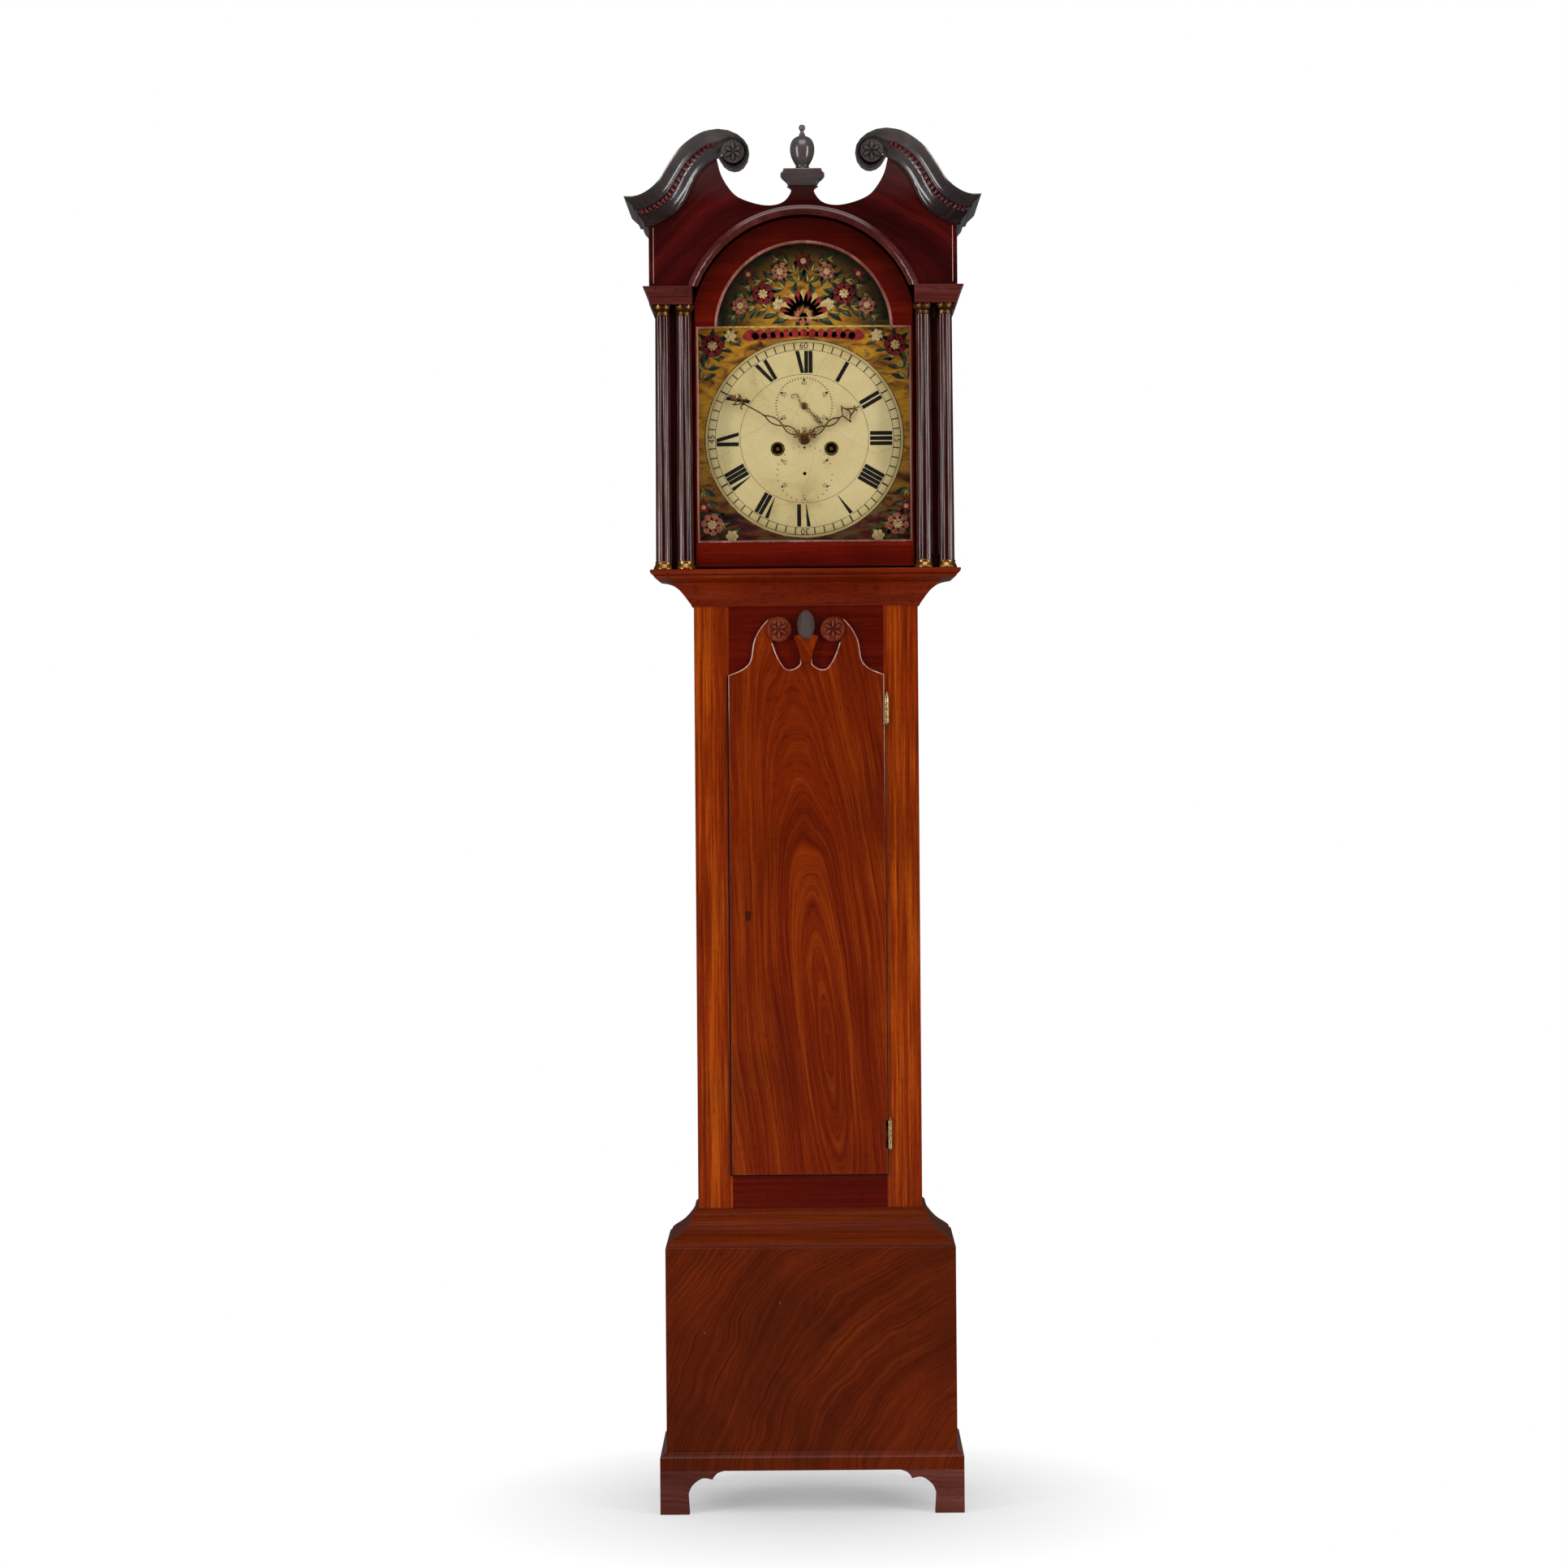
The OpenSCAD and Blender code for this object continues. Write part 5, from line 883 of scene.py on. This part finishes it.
# The rosettes on the trunk door and in the scrolls are carved discs with six petals, with painted
# shade in the cuts round them.
def rosette(name, at, high, made, body):
    r = 17.6
    disc = [(0, 0), (r, 0), (r, -1.6), (r * 0.95, -2.6), (r * 0.88, -2.6), (r * 0.84, -1.8), (0, -1.8)]
    turned(name, disc, at, made, body, steps=40)
    outline = [(0, 0.1), (0.09, 0.24), (0.15, 0.45), (0.12, 0.66), (0, 0.84), (-0.12, 0.66), (-0.15, 0.45),
               (-0.09, 0.24)]
    for part, wide, wood, near, far in (("cuts", 1.7, painted_crevice_shade, -1.7, -2.2), ("petals", 1.0, made, -1.9, -high)):
        rim = [(t * wide * r, near, u * r if part == "petals" else (u * 1.08 - 0.03) * r) for t, u in outline]
        top = [(t, far * 0.62 if part == "petals" else far, u) for t, _, u in rim]
        points = rim + top + [(0, far, 0.26 * r), (0, far, 0.64 * r)]
        faces = [tuple(range(8))] + [(i, (i + 1) % 8, 8 + (i + 1) % 8, 8 + i) for i in range(8)]
        faces += [(8 + i, 8 + (i + 1) % 8, 16 if i in (0, 1, 6, 7) else 17) for i in range(8)]
        faces += [(10, 17, 16), (14, 16, 17)]
        mesh = bpy.data.meshes.new(name + "_" + part)
        mesh.from_pydata([(x / 1000, y / 1000, z / 1000) for x, y, z in points], [], faces)
        carved = put(name + "_" + part, mesh)
        tidy(carved)
        places = [Matrix.Translation(at) @ Matrix.Rotation(math.radians(60 * i), 4, "Y") for i in range(6)]
        stamped(name + "_" + part, carved, places, wood, body)


# Near black: painted shade in the cuts round the rosettes and beside the door's lip.
painted_crevice_shade = mottled("crevice_painted_shade", [(0.3, (16, 5, 3)), (0.7, (40, 14, 9))], 300, 3, rough=0.7, gloss=0.2)
carving_wood = mahogany("carving_mahogany", (84, 20, 6), (120, 42, 18), (160, 80, 52), sway=0.02, gloss=0.9)
door_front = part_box("trunk_door_panel")[0].y
scroll_low, scroll_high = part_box("pediment_rosettes")
scroll_x, scroll_z = 0.1047, (scroll_low.z + scroll_high.z) / 2
door_eye_x, door_eye_z = 0.0415, 1.343
for side, word in ((-1, "left"), (1, "right")):
    rosette(word + "_door_rosette", (side * door_eye_x, door_front - 0.0029, door_eye_z), 4.6, carving_wood,
            "trunk_door")
    rosette(word + "_scroll_rosette", (side * scroll_x, scroll_high.y - 0.0022, scroll_z), 5.0, moulded_wood, "hood")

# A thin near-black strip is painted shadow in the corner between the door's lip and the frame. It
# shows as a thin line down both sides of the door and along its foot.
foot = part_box("trunk_door_panel")[0].z
lip_x, lip_top = 0.1186, 1.272
lip_shadow = [[(x0, z0), (x1, z0), (x1, z1), (x0, z1)]
        for x0, x1, z0, z1 in ((-0.1218, -lip_x, foot - 0.0028, lip_top), (-lip_x, lip_x, foot - 0.0028, foot + 0.0004),
                               (lip_x, 0.1204, foot - 0.0028, lip_top))]
lip_shadow = joined("door_lip_painted_shadow", [flat("door_lip_painted_shadow", lip_shadow, 0.00012)], painted_crevice_shade, "case")
lip_shadow.data.transform(Matrix.Translation((0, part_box("trunk_front_frame")[0].y, 0)))


# A pale painted highlight runs along the lip's front arris, most of all beside the scrolls, and
# fades towards the foot of the door.
def strip(name, runs, radius, y, made, body, closed=False):
    """A thin rounded strip along lines given in x and z."""
    return joined(name, [rods(name, runs, radius, Matrix.Translation((0, y, 0)), closed)], made, body)


scroll = smooth([(0.1185, 1.2728), (0.0998, 1.2802), (0.0883, 1.289), (0.083, 1.3005), (0.0795, 1.323),
                 (0.0705, 1.3425), (0.058, 1.3575)], 4)
bay = smooth([(0.0535, 1.3262), (0.0445, 1.3006), (0.0322, 1.2825), (0.0198, 1.2815), (0.009, 1.2888),
              (0.0080, 1.297)], 4)
arrises = []
for side, up in ((-1, 0.5), (1, 0.09)):
    for line in ([(0.1185, foot + up)] + scroll, bay):
        arrises.append([(side * x, z, 1.0 if i else 0.15) for i, (x, z) in enumerate(line)])
strip("painted_arris_highlight", arrises, 0.0010, door_front + 0.0007, edge_highlight_wood, "trunk_door")

# A carved acorn stands in its cup between the door's two rosettes. It is cross-hatched like a
# real one, and its back is sawn flat where it is glued to the door.
acorn_wood, shader = finish("acorn_wood", rough=0.22, gloss=0.9)
across, _, up = axes(acorn_wood, placed(acorn_wood, (2100, 2100, 2100)))
slants = [maths(acorn_wood, "ABSOLUTE", maths(acorn_wood, "SINE", maths(acorn_wood, kind, across, up)))
          for kind in ("ADD", "SUBTRACT")]
hatch = maths(acorn_wood, "MINIMUM", *slants)
# Dark in the hatching's grooves and pale on its crests: painted shade and painted highlight.
hatch_shade_and_highlight = ramp(acorn_wood, hatch, [(0.06, (14, 8, 7)), (0.3, (62, 46, 44)), (0.8, (128, 112, 108))])
wire(acorn_wood, hatch_shade_and_highlight, shader.inputs["Base Color"])
bumped(acorn_wood, shader, hatch, 0.0009, 0.9)
nut = [(0, -23.2), (12, -21.6)]
nut += [(13.7 * math.cos(math.radians(a)), 23.4 * math.sin(math.radians(a))) for a in range(-60, 90, 10)] + [(0, 23.6)]
acorn_z = 1.3492
acorn = turned("acorn", nut, (0, door_front + 0.001, acorn_z), acorn_wood, "trunk_door", upright=True)
cut = bmesh.new()
cut.from_mesh(acorn.data)
sliced = bmesh.ops.bisect_plane(cut, geom=cut.verts[:] + cut.edges[:] + cut.faces[:],
                                plane_co=(0, door_front + 0.0054, 0), plane_no=(0, 1, 0), clear_outer=True)
bmesh.ops.contextual_create(cut, geom=[edge for edge in sliced["geom_cut"] if isinstance(edge, bmesh.types.BMEdge)])
cut.to_mesh(acorn.data)
cut.free()

# The finial is turned, and stands on a cap with an ogee outline. The cap is planed, and is
# glued on the tympanum's stem.
low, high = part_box("finial")
stem_top = high.z - 0.068
cap_side = mm([(20, -26), (21.8, -23.5), (23.2, -20.5), (26.2, -17), (28.8, -15), (31, -12.8), (33.4, -9.6),
               (33.4, -7.6), (32, -6.4), (30.6, -5.2), (29.1, -3), (29.1, 0)])
cap = flat("finial_cap", [cap_side + [(-x, z) for x, z in reversed(cap_side)]], high.y - low.y - 0.001)
cap.data.transform(Matrix.Translation((0, high.y, stem_top)))
ease(cap, 0.0014, corner=50)
urn = [(0, -1), (12.5, 0), (12, 1.4), (10.2, 3), (9.8, 4.8)]
urn += smooth([(10.4, 6.4), (14.8, 14), (17.4, 21), (18.6, 29), (17.9, 37), (15.4, 43.5), (11, 48), (5.6, 50.4)], 4)
urn += [(4.2, 51.4), (4.7, 52.6), (4.2, 53.8), (3, 55), (2.9, 58)]
urn += [(5 * math.cos(math.radians(a)), 63 + 5 * math.sin(math.radians(a))) for a in range(-50, 90, 20)] + [(0, 68)]
urn = turned("finial_urn", urn, (0, (low.y + high.y) / 2, stem_top), moulded_wood, "hood", upright=True)
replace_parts(joined("turned_finial", [cap, urn], moulded_wood, "hood"), "finial")

# A fine pale line of stringing is let into the frieze beside each corner, a millimetre wide
# and flush with the wood.
string_wood = mahogany("string_line", (120, 82, 72), (168, 128, 116), (200, 164, 150))
string_x, string_foot, string_top = 0.2269, 1.868, 1.953
lines = [[(side * string_x + x, z) for x, z in ((-0.0005, string_foot), (0.0005, string_foot),
                                                (0.0005, string_top), (-0.0005, string_top))] for side in (-1, 1)]
strings = joined("frieze_lines", [flat("frieze_lines", lines, 0.00016)], string_wood, "hood")
strings.data.transform(Matrix.Translation((0, frieze_front, 0)))

# Turned rings and small balls finish the knuckles of the trunk door's hinges. The leaves behind
# them are let into the wood and have gone dark.
hinge_x, hinge_y, knuckle_r, knuckle_high = 0.123, -0.0408, 0.0036, 0.042
bright_brass = brass("rubbed_brass", (150, 112, 60), (224, 190, 130), 0.22)
for name, body in (("trunk_hinge_leaves", "case"), ("trunk_door_brasses", "trunk_door")):
    piece = soften(name, 0.0003, bright_brass, body)
    piece.data.materials.append(dark_brass)
    for face in piece.data.polygons:
        if math.hypot(face.center.x - hinge_x, face.center.y - hinge_y) > knuckle_r:
            face.material_index = 1
for hinge_z in (0.548, 1.199):
    for z, up in ((hinge_z, -1), (hinge_z + knuckle_high, 1)):
        ball = [(0, 0), (3.4, 0), (3.8, 0.8), (3.4, 1.6), (1.6, 2.1), (2.3, 3.4), (1.7, 4.7), (0, 5.2)]
        ball = [(r, up * along) for r, along in ball]
        turned("hinge_ball", ball, (hinge_x, hinge_y, z), bright_brass, "case", upright=True, steps=24)

# Each weight hangs in the loop of a gut line, one end on the barrel and the other on the
# seatboard. In the clock its two falls shorten as the weight is wound up; here they are fixed to the case at one
# length.
line_y, line_r = 0.0308, 0.75
for side, x in trains:
    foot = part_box(side + "_line")[0].z
    for word, across, top, keep in (("left", -0.0211, 1.6195, 0.17), ("right", 0.0211, 1.563, 0.131)):
        long = (top - foot) * 1000
        fall = turned(f"{side}_{word}_fall", [(0, 0)] + [(line_r, z) for z in (0, 300, 600, 900, long)] + [(0, long)],
                      (x + across, line_y, foot), gut, "case", upright=True, steps=12)
        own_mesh(fall)
        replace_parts(fall, side + "_line")

# A pane of old glass, slightly uneven, closes the hood door. It is clear enough that the dial
# behind it keeps its colours.
pane, shader = finish("old_glass", rough=0.03, gloss=0.5)
shader.inputs["Base Color"].default_value = colour(8, 9, 8)
shader.inputs["Alpha"].default_value = 0.03
bumped(pane, shader, grain(pane, placed(pane), 9, 2), 0.0006, 0.4)
give(pane, "hood_door_glass")

# A thin half-round moulding, coloured pale as a painted highlight, runs round the glass at the front
# edge of the hood door. It is bent from one strip and mitred at the shoulders.
bead_highlight_wood = mahogany("painted_bead_highlight", (92, 34, 22), (128, 66, 52), (170, 112, 98), sway=0.01, rough=0.3, coat=0.3)
glass_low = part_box("hood_door_glass")[0].z + 0.0048
half, shoulder, arch_centre, arch_r = 0.162, 1.802, 1.798, 0.134
start = math.asin((shoulder - arch_centre) / arch_r)
turns = [start + (math.pi - 2 * start) * i / 40 for i in range(41)]
arch = [(arch_r * math.cos(a), arch_centre + arch_r * math.sin(a)) for a in turns]
outline = [(-half, glass_low), (half, glass_low), (half, shoulder)] + arch + [(-half, shoulder)]
strip("glass_bead", [outline], 0.0026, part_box("hood_door_frame")[0].y + 0.0004, bead_highlight_wood, "hood_door", closed=True)

# Where the clock stands: a pale floor that runs out into white, and soft light from both
# sides and above, as in a studio.
bpy.ops.object.select_all(action="DESELECT")
bpy.ops.mesh.primitive_circle_add(vertices=96, radius=14, fill_type="NGON", location=(0, 0, 0))
floor = bpy.context.object
floor.name = "floor"
paper, shader = finish("white_paper", rough=0.9, gloss=0.1)
shader.inputs["Base Color"].default_value = (0.86, 0.86, 0.86, 1)
glow = add(paper, "ShaderNodeEmission")
far = ramp(paper, maths(paper, "MULTIPLY", length(paper, placed(paper)), 0.4), [(0.05, 0.35), (0.22, 1.0)])
rays = add(paper, "ShaderNodeLightPath")
seen = maths(paper, "MAXIMUM", rays.outputs["Is Camera Ray"], rays.outputs["Is Transmission Ray"])
mirrored = rays.outputs["Is Glossy Ray"]
wire(paper, maths(paper, "ADD", maths(paper, "MULTIPLY", mirrored, 0.06), seen), glow.inputs["Strength"])
both = add(paper, "ShaderNodeMixShader")
wire(paper, maths(paper, "MAXIMUM", maths(paper, "MULTIPLY", far, seen), mirrored), both.inputs[0])
wire(paper, shader.outputs[0], both.inputs[1])
wire(paper, glow.outputs[0], both.inputs[2])
wire(paper, both.outputs[0], paper.node_tree.nodes["Material Output"].inputs["Surface"])
floor.data.materials.append(paper)

# The room is white to the camera and through glass, dim in what the polish mirrors, and a
# little brighter there behind the clock.
room = bpy.data.worlds.new("studio")
room.use_nodes = True
bpy.context.scene.world = room
way = add(room, "ShaderNodeTexCoord")
behind = add(room, "ShaderNodeMapRange", {"From Min": -0.2, "From Max": 0.8, "To Min": 0.03, "To Max": 0.10})
wire(room, axes(room, way.outputs["Generated"])[1], behind.inputs["Value"])
rays = add(room, "ShaderNodeLightPath")
dim = add(room, "ShaderNodeMix", {2: 0.40})
wire(room, rays.outputs["Is Glossy Ray"], dim.inputs[0])
wire(room, behind.outputs["Result"], dim.inputs[3])
white = add(room, "ShaderNodeMix", {3: 1.0})
wire(room, maths(room, "MAXIMUM", rays.outputs["Is Camera Ray"], rays.outputs["Is Transmission Ray"]), white.inputs[0])
wire(room, dim.outputs[0], white.inputs[2])
sky = room.node_tree.nodes["Background"]
sky.inputs["Color"].default_value = (1, 1, 1, 1)
wire(room, white.outputs[0], sky.inputs["Strength"])


def softbox(name, place, aim, wide, high, power):
    lamp = bpy.data.lights.new(name, "AREA")
    lamp.shape = "RECTANGLE"
    lamp.size = wide
    lamp.size_y = high
    lamp.energy = power
    stand = put(name, lamp)
    stand.location = place
    stand.rotation_euler = (Vector(aim) - Vector(place)).to_track_quat("-Z", "Y").to_euler()


softbox("left_box", (-2.6, -2.2, 1.5), (0, 0, 1.1), 0.5, 2.8, 46)
softbox("right_box", (2.6, -2.2, 1.5), (0, 0, 1.1), 0.5, 2.8, 46)
softbox("top_box", (0, -1.6, 3.6), (0, 0, 1.0), 2.2, 1.4, 26)

lens = bpy.data.cameras.new("camera")
lens.sensor_width = 36
lens.lens = 93.9
lens.shift_x = -0.0181
lens.shift_y = -0.0487
camera = put("camera", lens)
camera.location = (0.009, -6.3, 1.223)
camera.rotation_euler = (math.radians(90), math.radians(0.44), 0)
bpy.context.scene.camera = camera
bpy.context.scene.view_settings.view_transform = "Standard"
